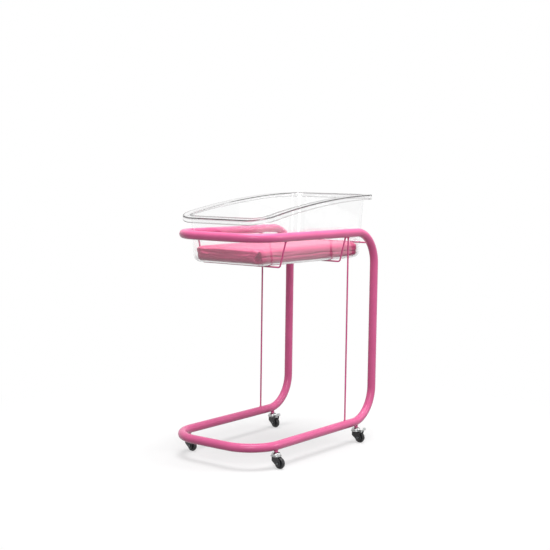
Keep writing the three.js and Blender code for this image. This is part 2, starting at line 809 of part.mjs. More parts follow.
function pedal() {
  const plate = toSolid(sidePlate(pedalOutline(), -pedalHalfWidth, pedalHalfWidth));
  const reach = pedalHalfWidth + cutOverrun;
  const bore = crosswiseRod(pedalPinDiameter / 2 + seatGap, -reach, reach, 0, 0);
  return toGeometry(plate.subtract(toSolid(bore)));
}

for (const place of casterPlaces) {
  const caster = new THREE.Group();
  caster.position.set(place.x, place.y, 0);
  caster.rotation.z = THREE.MathUtils.degToRad(trailDegrees[place.name]);
  bassinet.add(caster);

  addPiece(`${place.name}_caster_boss`, casterBoss(), 'powderCoat', caster);
  addPiece(`${place.name}_caster_stem`, casterStem(), 'zincPlate', caster);
  addPiece(`${place.name}_caster_bell`, bearingBell(), 'zincPlate', caster);
  addPiece(`${place.name}_caster_crown`, crown(), 'zincPlate', caster);
  addPiece(`${place.name}_fork`, fork(place.braked), 'blackNylon', caster);

  const wheel = new THREE.Group();
  wheel.position.set(casterTrail, 0, wheelRadius);
  caster.add(wheel);
  addPiece(`${place.name}_axle_bolt`, axleBolt(), 'zincPlate', wheel);
  addPiece(`${place.name}_axle_nut`, axleNut(), 'zincPlate', wheel);
  addPiece(`${place.name}_tyre`, tyre(), 'blackRubber', wheel).rotation.x = Math.PI / 2;
  addPiece(`${place.name}_hub`, hub(), 'greyNylon', wheel).rotation.x = Math.PI / 2;

  if (place.braked) {
    const pivot = new THREE.Group();
    pivot.position.set(pedalPinPlace, 0, pedalPinHeight);
    caster.add(pivot);
    const pin = crosswiseRod(pedalPinDiameter / 2, -legOuter, legOuter, 0, 0, wireSides);
    addPiece(`${place.name}_pedal_pin`, pin, 'zincPlate', pivot);
    addPiece(`${place.name}_brake_pedal`, pedal(), 'zincPlate', pivot);
  }
}

// The origin goes under the middle of the whole object, on the floor.
bassinet.updateMatrixWorld(true);
const bounds = new THREE.Box3().setFromObject(bassinet, true);
const middle = bounds.getCenter(new THREE.Vector3());
bassinet.position.set(-middle.x, -middle.y, -bounds.min.z);

export default bassinet;
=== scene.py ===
import bpy
import bmesh
import json
import math
import numpy as np
from mathutils import Matrix, Vector


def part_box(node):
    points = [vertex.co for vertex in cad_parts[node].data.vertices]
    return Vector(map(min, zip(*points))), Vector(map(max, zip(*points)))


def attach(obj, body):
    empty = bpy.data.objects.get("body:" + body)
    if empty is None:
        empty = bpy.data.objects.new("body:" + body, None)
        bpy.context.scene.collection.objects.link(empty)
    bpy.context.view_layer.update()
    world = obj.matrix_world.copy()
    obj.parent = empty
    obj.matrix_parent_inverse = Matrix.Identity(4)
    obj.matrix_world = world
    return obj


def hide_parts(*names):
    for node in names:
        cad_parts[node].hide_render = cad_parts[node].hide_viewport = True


# Hospital bassinet: powder-coated tube frame, clear tub, covered mattress, four casters.
# Metres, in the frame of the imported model: +Z up, +X to the head end, -Y is the near side.
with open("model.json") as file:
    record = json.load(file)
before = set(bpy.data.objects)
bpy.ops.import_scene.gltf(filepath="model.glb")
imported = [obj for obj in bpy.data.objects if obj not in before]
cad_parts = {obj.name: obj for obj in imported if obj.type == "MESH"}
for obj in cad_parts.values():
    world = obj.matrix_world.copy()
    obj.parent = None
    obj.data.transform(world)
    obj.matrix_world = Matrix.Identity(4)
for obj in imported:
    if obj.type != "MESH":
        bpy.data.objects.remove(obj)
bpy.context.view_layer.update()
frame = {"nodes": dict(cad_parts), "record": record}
print("frame loaded")


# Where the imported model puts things

def middle(node):
    low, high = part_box(node)
    return (np.array(low) + np.array(high)) / 2


def levels(node):
    # Bottom and top of a node's box
    low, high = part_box(node)
    return low[2], high[2]


def pick(settings, names):
    # The named values of a dictionary, in the order of the words
    return [settings[name] for name in names.split()]


tieRodPlace = 0.183  # the tie rods' distance from the frame's middle
shiftX = middle("near_tie_rod")[0] - tieRodPlace
sideY = {"near": middle("near_tie_rod")[1], "far": middle("far_tie_rod")[1]}
middleY = (sideY["near"] + sideY["far"]) / 2
railZ = {"top": middle("top_rail")[2], "base": middle("base_rail")[2]}


# Colour and material helpers

def srgb(code):
    # sRGB hex to linear: c/12.92 below 0.04045, else ((c + 0.055)/1.055)^2.4
    parts = [int(code[i:i + 2], 16) / 255 for i in (1, 3, 5)]
    linear = [c / 12.92 if c <= 0.04045 else ((c + 0.055) / 1.055) ** 2.4 for c in parts]
    return (*linear, 1.0)


def addNode(tree, kind, inputs=(), output=0):
    # An input takes a value or another node's output; any other name is a property of the node
    node = tree.nodes.new("ShaderNode" + kind)
    for key, value in dict(inputs).items():
        if isinstance(value, bpy.types.NodeSocket):
            tree.links.new(value, node.inputs[key])
        elif isinstance(key, int) or key in node.inputs:
            node.inputs[key].default_value = value
        else:
            setattr(node, key, value)
    return node.outputs[output] if len(node.outputs) else None


def emptyTree(owner):
    owner.use_nodes = True
    owner.node_tree.nodes.clear()
    return owner.node_tree


def noiseBy(tree, scale, detail):
    place = addNode(tree, "TexCoord", (), "Object")
    return addNode(tree, "TexNoise", {"Scale": scale, "Detail": detail, "Vector": place})


def toneBy(tree, field, stops, tones):
    ramp = tree.nodes.new("ShaderNodeValToRGB")
    tree.links.new(field, ramp.inputs[0])
    for element, stop, tone in zip(ramp.color_ramp.elements, stops, tones):
        element.position, element.color = stop, srgb(tone)
    return ramp.outputs[0]


def rangeBy(tree, field, source, target):
    return addNode(tree, "MapRange", {"Value": field, "From Min": source[0], "From Max": source[1],
                                      "To Min": target[0], "To Max": target[1]})


def mixBy(tree, share, first, second):
    return addNode(tree, "Mix", {"data_type": "RGBA", 0: share, 6: first, 7: second}, 2)


def largerOf(tree, first, second):
    return addNode(tree, "Math", {"operation": "MAXIMUM", 0: first, 1: second})


def anyRay(tree, *kinds):
    # 1 for a ray of any of these kinds, else 0
    rays = [addNode(tree, "LightPath", (), kind) for kind in kinds]
    found = rays[0]
    for ray in rays[1:]:
        found = largerOf(tree, found, ray)
    return found


# Materials. Clouds and grain are noises, (how many to a metre, detail): the clouds blend two
# tones, the grain makes the relief, (strength, height). Where a look strays, one of the
# noises moves the roughness from below to above its value.

coatLook = {
    # Polyester powder, baked: even gloss colour with a soft orange peel, slightly duller
    # where it was handled. The peel is drawn coarser than its 1.5 mm so that it shows.
    "tones": ("#E46299", "#EB6BA1"), "stops": (0.35, 0.65), "roughness": 0.32,
    "clouds": (9.0, 3.0), "grain": (1 / 0.0035, 1.0), "relief": (0.6, 0.00006),
    "strays": ("clouds", (0.3, 0.75), (-0.04, 0.08)),
    "gloss": {"IOR": 1.38, "Coat Weight": 0.15, "Coat Roughness": 0.15},
}
coverLook = {
    # Knitted nylon with a polyurethane skin: satin, with the knit showing faintly through,
    # drawn at twice its 1.2 mm thread, and with painted shade in its folds
    "tones": ("#DE5285", "#E85C90"), "stops": (0.3, 0.65), "roughness": 0.34, "paintedFoldShade": "#8E2450",
    "clouds": (7.0, 4.0), "grain": (1 / 0.0024, 2.0), "relief": (0.5, 0.00005),
    "gloss": {"IOR": 1.46, "Sheen Weight": 0.1, "Sheen Roughness": 0.4},
}
zincLook = {
    # Zinc-plated steel: bright grey with faint drawn lines and cloudy patches
    "tones": ("#9DA09F", "#D3D6D5"), "stops": (0.3, 0.7), "roughness": 0.32,
    "clouds": (160.0, 3.0), "grain": (900.0, 2.0), "relief": (0.25, 0.00004),
    "strays": ("grain", (0.3, 0.7), (-0.08, 0.1)), "gloss": {"Metallic": 1.0},
}
plasticLook = {
    # Moulded rubber or nylon: dark and matte, with a fine grit and two tones blended in patches
    "tones": ("#161617", "#303032"), "stops": (0.35, 0.75), "roughness": 0.42,
    "clouds": (90.0, 4.0), "grain": (1 / 0.0012, 1.0), "relief": (0.4, 0.00008),
    "gloss": {"IOR": 1.5},
}
acrylicSet = {
    # The edge colour is painted grey shade, for the sheet's edges and glancing faces
    "clear": "#FCFCFC", "edge": "#948C90", "haze": 0.02, "shine": 0.25, "passed": 0.93,
    "glance": (0.8, 0.96), "paintedGlanceShade": 0.55,  # facing from and to, and the edge's grey it gets
    "rubbingSize": 0.04,  # length of a patch of fine rubbing
}


def solidLook(name, look, **changes):
    look = {**look, **changes}
    material = bpy.data.materials.new(name)
    tree = emptyTree(material)
    noise = {kind: noiseBy(tree, *look[kind]) for kind in ("clouds", "grain")}
    tone = toneBy(tree, noise["clouds"], look["stops"], look["tones"])
    # Painted shade: the foldShade attribute darkens the colour in folds and creases
    if "paintedFoldShade" in look:
        paintedFoldShade = addNode(tree, "Attribute", {"attribute_name": "foldShade"}, "Fac")
        tone = mixBy(tree, paintedFoldShade, tone, srgb(look["paintedFoldShade"]))
    strength, height = look["relief"]
    relief = addNode(tree, "Bump", {"Strength": strength, "Distance": height, "Height": noise["grain"]})
    roughness = look["roughness"]
    if "strays" in look:
        kind, source, strays = look["strays"]
        roughness = rangeBy(tree, noise[kind], source, [roughness + stray for stray in strays])
    shader = addNode(tree, "BsdfPrincipled", {"Base Color": tone, "Roughness": roughness,
                                              "Normal": relief, **look["gloss"]})
    addNode(tree, "OutputMaterial", {"Surface": shader})
    return material


def clearAcrylic():
    # Drawn acrylic sheet, flame polished: clear face on, mirrors a little of the room,
    # and has painted grey shade along its edges and where it is seen at a glance, standing in
    # for light that has run far inside the sheet. Lamps and soft light pass straight through it.
    material = bpy.data.materials.new("clearAcrylicSheet")
    tree = emptyTree(material)
    rubbing = noiseBy(tree, 1 / acrylicSet["rubbingSize"], 4.0)
    rough = rangeBy(tree, rubbing, (0.45, 0.8), (0.0, acrylicSet["haze"]))
    # Painted grey shade: the edgeShade attribute along rims and skirts, and the facing at a glance
    edge = addNode(tree, "Attribute", {"attribute_name": "edgeShade"}, "Fac")
    facing = addNode(tree, "LayerWeight", {"Blend": 0.5}, "Facing")
    glance = rangeBy(tree, facing, acrylicSet["glance"], (0.0, acrylicSet["paintedGlanceShade"]))
    grey = largerOf(tree, edge, glance)
    tint = mixBy(tree, grey, srgb(acrylicSet["clear"]), srgb(acrylicSet["edge"]))
    sheet = addNode(tree, "BsdfPrincipled",
                    {"IOR": 1.49, "Transmission Weight": 1.0, "Specular IOR Level": acrylicSet["shine"],
                     "Base Color": tint, "Roughness": rough})
    lit = anyRay(tree, "Is Shadow Ray", "Is Diffuse Ray")
    through = addNode(tree, "BsdfTransparent", {"Color": (acrylicSet["passed"],) * 3 + (1,)})
    surface = addNode(tree, "MixShader", {0: lit, 1: sheet, 2: through})
    addNode(tree, "OutputMaterial", {"Surface": surface})
    return material


nylonGrain = (1 / 0.0009, 1.0)
# A darker, rougher zinc for the axle bolts and nuts
darkRoughZinc = solidLook("darkRoughZincFastener", zincLook, tones=("#55585A", "#77797A"), roughness=0.5)
materialOf = {
    "powder_coat": solidLook("pinkPowderCoat", coatLook),
    "bare_steel": solidLook("bareSteel", zincLook, tones=("#77797B", "#9C9EA0"), roughness=0.42,
                            grain=(700.0, 2.0)),
    "zinc_plate": solidLook("brightZincPlate", zincLook),
    "clear_acrylic": clearAcrylic(),
    "coated_fabric": solidLook("pinkCoatedCover", coverLook),
    "black_rubber": solidLook("blackTyreRubber", plasticLook),
    "black_nylon": solidLook("blackNylonFork", plasticLook, tones=("#111113", "#1E1E21"), roughness=0.4,
                             grain=nylonGrain),
    "grey_nylon": solidLook("greyNylonHub", plasticLook, tones=("#2B2C2F", "#3E4044"), roughness=0.45,
                            grain=nylonGrain),
}
for part in frame["record"]["subparts"]:
    shownMesh = frame["nodes"][part["node"]].data
    shownMesh.materials.clear()
    shownMesh.materials.append(materialOf[part["material_slot"]])
print("materials made")


# Mesh helpers

def addToScene(name, data):
    holder = bpy.data.objects.new(name, data)
    bpy.context.scene.collection.objects.link(holder)
    return holder


def gridQuads(rows, columns, wrapRows=False, wrapColumns=True):
    # Quads between neighbouring rows and columns of a grid, row by row
    lastRow = rows if wrapRows else rows - 1
    lastColumn = columns if wrapColumns else columns - 1
    r, c = np.meshgrid(np.arange(lastRow), np.arange(lastColumn), indexing="ij")
    nextR, nextC = (r + 1) % rows, (c + 1) % columns
    corners = [r * columns + c, r * columns + nextC, nextR * columns + nextC, nextR * columns + c]
    return np.stack(corners, -1).reshape(-1, 4)


def makeObject(name, points, quads, material, sharpDegrees=35.0, shade=None, merge=2e-6):
    mesh = bpy.data.meshes.new(name)
    mesh.from_pydata(points.reshape(-1, 3), [], quads)
    mesh.materials.append(material)
    if shade is not None:
        mesh.attributes.new("edgeShade", "FLOAT", "POINT").data.foreach_set("value", shade.ravel())
    work = bmesh.new()
    work.from_mesh(mesh)
    bmesh.ops.remove_doubles(work, verts=work.verts, dist=merge)
    bmesh.ops.dissolve_degenerate(work, edges=work.edges, dist=merge / 2)
    bmesh.ops.recalc_face_normals(work, faces=work.faces)
    work.to_mesh(mesh)
    work.free()
    mesh.shade_smooth()
    mesh.set_sharp_from_angle(angle=math.radians(sharpDegrees))
    return addToScene(name, mesh)


def dress(piece, body, node):
    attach(piece, body)
    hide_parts(node)


def addPiece(name, node, body, slotName, points, quads, material=None, **more):
    piece = makeObject(name, points, quads, material or materialOf[slotName], **more)
    dress(piece, body, node)


# Tubes, rods and wires: a circle carried along a flat path of straight runs and arcs

def bentPath(corners, radius, bendSteps, runStep):
    # Points and directions: start + radius (sin a along the run in, 1 - cos a across it)
    corners = [np.array(corner, float) for corner in corners]
    points, directions = [], []

    def run(start, end, direction):
        count = max(2, int(np.linalg.norm(end - start) / runStep) + 1)
        share = np.linspace(0, 1, count)[:, None]
        points.append(start + share * (end - start))
        directions.append(np.repeat(direction[None], count, 0))

    at = corners[0]
    for i in range(1, len(corners) - 1):
        into = corners[i] - corners[i - 1]
        out = corners[i + 1] - corners[i]
        into, out = into / np.linalg.norm(into), out / np.linalg.norm(out)
        turn = math.acos(np.clip(into @ out, -1, 1))
        setback = radius * math.tan(turn / 2)
        start = corners[i] - into * setback
        across = out - into * (into @ out)
        across = across / np.linalg.norm(across)
        run(at, start, into)
        angle = np.linspace(0, turn, bendSteps + 1)[1:-1, None]
        points.append(start + radius * (np.sin(angle) * into + (1 - np.cos(angle)) * across))
        directions.append(np.cos(angle) * into + np.sin(angle) * across)
        at = corners[i] + out * setback
    last = corners[-1] - at
    run(at, corners[-1], last / np.linalg.norm(last))
    return np.vstack(points), np.vstack(directions)


def addBar(node, label, path, planeNormal, radius, sides, edge):
    # point = path + r (cos a (n x t) + sin a n). Three rings close each end: its middle, its
    # face drawn in by the edge, and the full circle one edge further along.
    points, directions = path
    normal = np.array(planeNormal, float)
    rows = np.r_[[0] * 3, 1:len(points) - 1, [-1] * 3]
    centres, side = points[rows], np.cross(normal, directions)[rows]
    radii = np.broadcast_to(radius, len(points))[rows]
    centres[2] += directions[0] * edge
    centres[-3] -= directions[-1] * edge
    radii[[1, -2]] -= edge
    radii[[0, -1]] = 0
    angle = np.linspace(0, 2 * np.pi, sides, endpoint=False)[:, None]
    ring = np.cos(angle) * side[:, None] + np.sin(angle) * normal
    grid = centres[:, None] + radii[:, None, None] * ring
    addPiece(node + "_" + label, node, "frame", "powder_coat", grid, gridQuads(len(rows), sides))


tubeSet = {
    "diameter": 0.03175, "bendRadius": 0.125, "length": 0.736, "sides": 48,
    "bendSteps": 28, "runStep": 0.06, "endEdge": 0.0001,
}
tubeRadius = tubeSet["diameter"] / 2
uprightX = shiftX + tubeSet["length"] / 2
footBarX = shiftX - tubeSet["length"] / 2
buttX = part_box("top_rail")[1][0]


def addTube(node, corners, planeNormal):
    path = bentPath(corners, tubeSet["bendRadius"], tubeSet["bendSteps"], tubeSet["runStep"])
    addBar(node, "tube", path, planeNormal, tubeRadius, tubeSet["sides"], tubeSet["endEdge"])


def makeFrameTubes():
    for level, z in railZ.items():
        plan = [(buttX, "near"), (footBarX, "near"), (footBarX, "far"), (buttX, "far")]
        addTube(level + "_rail", [(x, sideY[side], z) for x, side in plan], (0, 0, 1))
    for side, y in sideY.items():
        outline = [(buttX, "top"), (uprightX, "top"), (uprightX, "base"), (buttX, "base")]
        addTube(side + "_upright", [(x, y, railZ[level]) for x, level in outline], (0, 1, 0))


rodSet = {
    "tieRadius": 0.003175, "wireRadius": 0.003, "crossRadius": 0.003, "sides": 24, "endEdge": 0.0006,
    "sink": 0.004,  # how far a welded end reaches into the tube
    "filletLength": 0.006, "filletHeight": 0.0022, "hangerBend": 0.011, "hangerLean": 0.025,
    "bendSteps": 12, "tieStep": 0.0015, "hangerStep": 0.003, "crossStep": 0.02,
}


def filletRadii(points, barRadius):
    # r = bar + height (1 - s/length)^2 near each end, s measured from the tube's surface
    step = np.linalg.norm(np.diff(points, axis=0), axis=1)
    along = np.concatenate([[0], np.cumsum(step)])
    fromEnd = np.minimum(along, along[-1] - along) - rodSet["sink"]
    share = np.clip(1 - fromEnd / rodSet["filletLength"], 0, 1)
    return barRadius + rodSet["filletHeight"] * share ** 2


def addRod(node, label, corners, planeNormal, radius, runStep, welded=True):
    path = bentPath(corners, rodSet["hangerBend"], rodSet["bendSteps"], runStep)
    radii = filletRadii(path[0], radius) if welded else radius
    addBar(node, label, path, planeNormal, radii, rodSet["sides"], rodSet["endEdge"])


def makeRods():
    lowEnd = railZ["base"] + tubeRadius - rodSet["sink"]
    highEnd = railZ["top"] - tubeRadius + rodSet["sink"]
    for side, y in sideY.items():
        x = middle(side + "_tie_rod")[0]
        corners = [(x, y, lowEnd), (x, y, highEnd)]
        addRod(side + "_tie_rod", "bar", corners, (0, 1, 0), rodSet["tieRadius"], rodSet["tieStep"])
    near, far, lean = sideY["near"], sideY["far"], rodSet["hangerLean"]
    for end in ("foot", "head"):
        low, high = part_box(end + "_hanger")
        x, z = (low[0] + high[0]) / 2, low[2] + rodSet["wireRadius"]
        corners = [(x, near, highEnd), (x, near + lean, z), (x, far - lean, z), (x, far, highEnd)]
        addRod(end + "_hanger", "wire", corners, (1, 0, 0), rodSet["wireRadius"], rodSet["hangerStep"])
    x, _, z = middle("head_cross_rod")
    corners = [(x, near, z), (x, far, z)]
    addRod("head_cross_rod", "bar", corners, (0, 0, 1), rodSet["crossRadius"], rodSet["crossStep"], False)


makeFrameTubes()
makeRods()
print("frame tubes, rods and wires made")


# Tub: rings of one rounded-rectangle pattern, from the floor's middle out, up the wall,
# round the flange and skirt, and back down inside

tubSet = {
    "wall": 0.0035, "sideDraft": 2.0, "endDraft": 4.0, "halfWidth": 0.172, "cornerRadius": 0.045,
    "footEnd": -0.322, "headEnd": 0.3675135, "fillet": 0.022, "filletShade": 0.35,
    "rimFoot": -0.342, "rimHead": 0.3960135, "rimHalfWidth": 0.206, "rimRadius": 0.08,
    "rimFootZ": 0.8715, "rimHeadZ": 0.956, "rimShare": 0.8, "rimThickness": 0.0035,
    "skirt": 0.018, "edgeRadius": 0.0012, "turn": 0.003, "outerTurn": 0.0026,
    "ribPitch": 0.043, "ribCount": 7, "ribDepth": 0.0035, "ribHalfWidth": 0.0205,
    "ribStart": 0.008, "ribEnd": 0.03,
    "cornerPoints": 14, "sidePoints": 56, "endPoints": 84, "floorRings": 42,
}
tubFloorZ = levels("tub")[0] + tubSet["ribDepth"]


def ringPattern(cornerPoints, sidePoints, endPoints):
    # Each point is centre + (sx, sy) of the corner centres + radius (cos a, sin a)
    sx, sy, angle = [], [], []
    quarter = np.pi / 2
    signs = [(1, 1), (-1, 1), (-1, -1), (1, -1)]
    for k, (cornerX, cornerY) in enumerate(signs):
        sx.append(np.full(cornerPoints, cornerX))
        sy.append(np.full(cornerPoints, cornerY))
        angle.append(np.linspace(k * quarter, (k + 1) * quarter, cornerPoints))
        nextX, nextY = signs[(k + 1) % 4]
        count = sidePoints if k % 2 == 0 else endPoints
        share = np.linspace(0, 1, count + 2)[1:-1]
        sx.append(cornerX + share * (nextX - cornerX))
        sy.append(cornerY + share * (nextY - cornerY))
        angle.append(np.full(count, (k + 1) * quarter))
    sx, sy, angle = np.concatenate(sx), np.concatenate(sy), np.concatenate(angle)
    return sx, sy, np.cos(angle), np.sin(angle)


def planOf(pattern, west, east, half, radius):
    sx, sy, cosine, sine = pattern
    x = (west + east) / 2 + sx * ((east - west) / 2 - radius) + radius * cosine
    y = sy * (half - radius) + radius * sine
    return x, y


def rimZ(x):
    # foot + rise sin(pi/2 t)^share, t running from the foot end to the head end
    t = np.clip((x - tubSet["rimFoot"]) / (tubSet["rimHead"] - tubSet["rimFoot"]), 0, 1)
    rise = tubSet["rimHeadZ"] - tubSet["rimFootZ"]
    return tubSet["rimFootZ"] + rise * np.sin(np.pi / 2 * t) ** tubSet["rimShare"]


def drawnIn(z):
    # How far the draft has brought the wall in at height z, at the ends and at the sides
    below = tubSet["rimHeadZ"] - z
    return [below * math.tan(math.radians(draft)) for draft in pick(tubSet, "endDraft sideDraft")]


def wallPlan(pattern, z, inset):
    ends, sides = drawnIn(z)
    west, east, half, radius = pick(tubSet, "footEnd headEnd halfWidth cornerRadius")
    return planOf(pattern, west + ends + inset, east - ends - inset, half - sides - inset, radius - inset)


def rimPlan(pattern, inset):
    west, east, half, radius = pick(tubSet, "rimFoot rimHead rimHalfWidth rimRadius")
    return planOf(pattern, west + inset, east - inset, half - inset, radius - inset)


def ribDrop(x, y, west, east):
    # depth (1 + cos(pi d / halfWidth))/2 across each rib, faded out at its ends
    centres = (np.arange(tubSet["ribCount"]) - (tubSet["ribCount"] - 1) / 2) * tubSet["ribPitch"]
    distance = np.min(np.abs(y[..., None] - centres), axis=-1)
    across = np.where(distance < tubSet["ribHalfWidth"],
                      0.5 + 0.5 * np.cos(np.pi * distance / tubSet["ribHalfWidth"]), 0)
    fromEnd = np.minimum(x - west, east - x) - tubSet["ribStart"]
    along = np.clip(fromEnd / tubSet["ribEnd"], 0, 1)
    return tubSet["ribDepth"] * across ** 0.7 * (3 * along ** 2 - 2 * along ** 3)


def floorRings(pattern, inset, count):
    # The rounded rectangle shrinks to the line through the floor's middle
    ends, sides = (reach + tubSet["fillet"] for reach in drawnIn(tubFloorZ))
    west, east = tubSet["footEnd"] + ends, tubSet["headEnd"] - ends
    half, radius = tubSet["halfWidth"] - sides, tubSet["cornerRadius"] - tubSet["fillet"]
    rings = []
    for s in np.linspace(0, 1, count):
        draw = half * (1 - s)
        x, y = planOf(pattern, west + draw, east - draw, half * s, radius * s)
        rings.append((x, y, tubFloorZ + inset - ribDrop(x, y, west, east)))
    return rings


def shellRings(pattern, inset, top):
    # Floor, rounded floor edge and wall of one face of the sheet, as (x, y, z, painted shade)
    rings = [ring + (0.0,) for ring in floorRings(pattern, inset, tubSet["floorRings"])]
    radius = tubSet["fillet"] - inset
    for a in np.linspace(0, np.pi / 2, 11)[1:]:
        z = tubFloorZ + inset + radius * (1 - math.cos(a))
        x, y = wallPlan(pattern, z, inset + radius * (1 - math.sin(a)))
        rings.append((x, y, z + 0 * x, tubSet["filletShade"] * math.sin(2 * a)))
    base = tubFloorZ + tubSet["fillet"]
    wallTop = rimZ(wallPlan(pattern, base, inset)[0]) - top
    for share in np.linspace(0, 1, 22)[1:]:
        z = base + share * (wallTop - base)
        rings.append((*wallPlan(pattern, z, inset), z, 0.0))
    return rings


def makeTub():
    # Rings in order: outside from the floor's middle up, flange, skirt, and back down inside.
    # Each ring has a painted grey shade, 0 on clear faces and up to 1 at the rim's edges, standing in for
    # light run inside the sheet.
    pattern = ringPattern(tubSet["cornerPoints"], tubSet["sidePoints"], tubSet["endPoints"])
    thick, lip, skirt = pick(tubSet, "rimThickness edgeRadius skirt")
    turn, outerTurn = pick(tubSet, "turn outerTurn")
    rings = shellRings(pattern, 0, thick + turn)
    inner = shellRings(pattern, tubSet["wall"], turn)

    def between(start, end, share, drop, shade):
        x, y = (a + (b - a) * share for a, b in zip(start, end))
        rings.append((x, y, rimZ(x) - drop, shade))

    def onRim(inset, drop, shade):
        x, y = rimPlan(pattern, inset)
        rings.append((x, y, rimZ(x) - drop, shade))

    # Under the flange, from the round above the wall out to the skirt
    start, end = rings[-1][:2], rimPlan(pattern, thick)
    width = np.hypot(end[0] - start[0], end[1] - start[1])
    for a in np.linspace(0, np.pi / 2, 5)[1:]:
        between(start, end, turn * (1 - math.cos(a)) / width, thick + turn * (1 - math.sin(a)), 0.15)
    for share in (0.35, 0.65, 0.9, 1.0):
        between(start, end, share, thick, 0.0)
    # Down the skirt's inner face, round its lip and up its outer face
    # Painted grey shade rises toward the skirt's lip and the rim's outer turn
    for drop, shade in ((0.005, 0.0), (0.01, 0.0), (0.014, 0.1), (skirt - lip, 0.5)):
        onRim(thick, drop, shade)
    for inset in (thick - lip, lip):
        onRim(inset, skirt, 0.8)
    for drop, shade in ((skirt - lip, 0.5), (0.014, 0.1), (0.009, 0.0), (0.0055, 0.2)):
        onRim(0, drop, shade)
    for a in np.linspace(0, np.pi / 2, 7):
        onRim(outerTurn * (1 - math.cos(a)), outerTurn * (1 - math.sin(a)), 1.0)
    # Over the flange's top and round into the inner wall
    start, end = rimPlan(pattern, outerTurn), inner[-1][:2]
    width = np.hypot(end[0] - start[0], end[1] - start[1])
    for share, shade in ((0.08, 0.5), (0.2, 0.0), (0.5, 0.0), (0.8, 0.0)):
        between(start, end, share, 0, shade)
    for a in np.linspace(0, np.pi / 2, 6)[:-1]:
        between(end, start, turn * (1 - math.sin(a)) / width, turn * (1 - math.cos(a)), 0.3)
    rings += reversed(inner)
    grid = np.array([np.stack(ring[:3], -1) for ring in rings]) + (shiftX, middleY, 0)
    rows, columns = grid.shape[:2]
    shade = np.repeat(np.array([ring[3] for ring in rings], np.float32), columns)
    addPiece("clear_tub", "tub", "tub", "clear_acrylic", grid, gridQuads(rows, columns),
             sharpDegrees=40.0, shade=shade, merge=1e-6)


makeTub()
print("tub made")


# Mattress: a foam pad in a slack sewn cover that fills the tub's floor. A short cloth
# simulation swells it; creases, stretch lines and folded corners are pressed in after it.

matSet = {
    "gap": 0.0013, "longEdge": 0.015, "footEdge": 0.005, "headEdge": 0.013, "bottomEdge": 0.017,
    "capInset": 0.0185, "step": 0.0055, "sideRows": 15, "pullIn": 0.0012, "crown": 0.002,
    "startInset": 0.0028, "startDrop": 0.004, "frames": 20, "cap": 0.0045,
    "creaseHeight": 0.46, "creaseDepth": 0.0026, "minorDepth": 0.0011,
    "lineCount": 5.0, "lineDepth": 0.0012, "stretchPitch": 0.0115, "stretchDepth": 0.0009,
    "tuckDepth": 0.0036, "tuckRoll": 0.0011, "tuckReach": 0.1, "waveHeight": 0.0006,
}
clothSet = {
    "quality": 5, "mass": 0.3, "tension_stiffness": 12, "compression_stiffness": 12,
    "shear_stiffness": 4, "bending_stiffness": 0.4, "use_pressure": True,
    "uniform_pressure_force": 4.0, "shrink_min": -0.004,
}
matBottom, matTop = levels("mattress")
matHeight = matTop - matBottom
matCentre = np.array([shiftX + (tubSet["footEnd"] + tubSet["headEnd"]) / 2, middleY, matBottom])
matRadius = tubSet["cornerRadius"] - tubSet["wall"] - matSet["gap"]


def smoothStep(low, high, value):
    share = np.clip((value - low) / (high - low), 0, 1)
    return share * share * (3 - 2 * share)


def hump(value, width):
    return np.exp(-(value / width) ** 2)


def padHalves(z):
    # Half length and half width at height z over the pad's bottom: the tub's inner wall
    # less a gap
    ends, sides = drawnIn(matBottom + z)
    clear = tubSet["wall"] + matSet["gap"]
    halfX = (tubSet["headEnd"] - tubSet["footEnd"]) / 2 - ends
    return halfX - clear, tubSet["halfWidth"] - sides - clear


def roundedPlan(s, t, halfX, halfY, radius):
    # s, t in -1..1 fill a rectangle; near a corner the square part d is drawn onto the
    # round one as d max(dx, dy) / |d|
    x, y = np.abs(s) * halfX, np.abs(t) * halfY
    dx, dy = np.maximum(x - halfX + radius, 0), np.maximum(y - halfY + radius, 0)
    scale = np.maximum(dx, dy) / np.maximum(np.hypot(dx, dy), 1e-9) - 1
    return np.sign(s) * (x + dx * scale), np.sign(t) * (y + dy * scale)


def padPlace(x, y, z):
    # Outward direction in plan, and distance past the pad's outline (negative inside)
    halfX, halfY = padHalves(z)
    dx, dy = np.abs(x) - halfX + matRadius, np.abs(y) - halfY + matRadius
    over = np.hypot(np.maximum(dx, 0), np.maximum(dy, 0))
    outward = np.stack([np.maximum(dx, 0) * np.sign(x), np.maximum(dy, 0) * np.sign(y)], -1)
    outward = outward / np.maximum(over, 1e-9)[..., None]
    return outward, over + np.minimum(np.maximum(dx, dy), 0) - matRadius


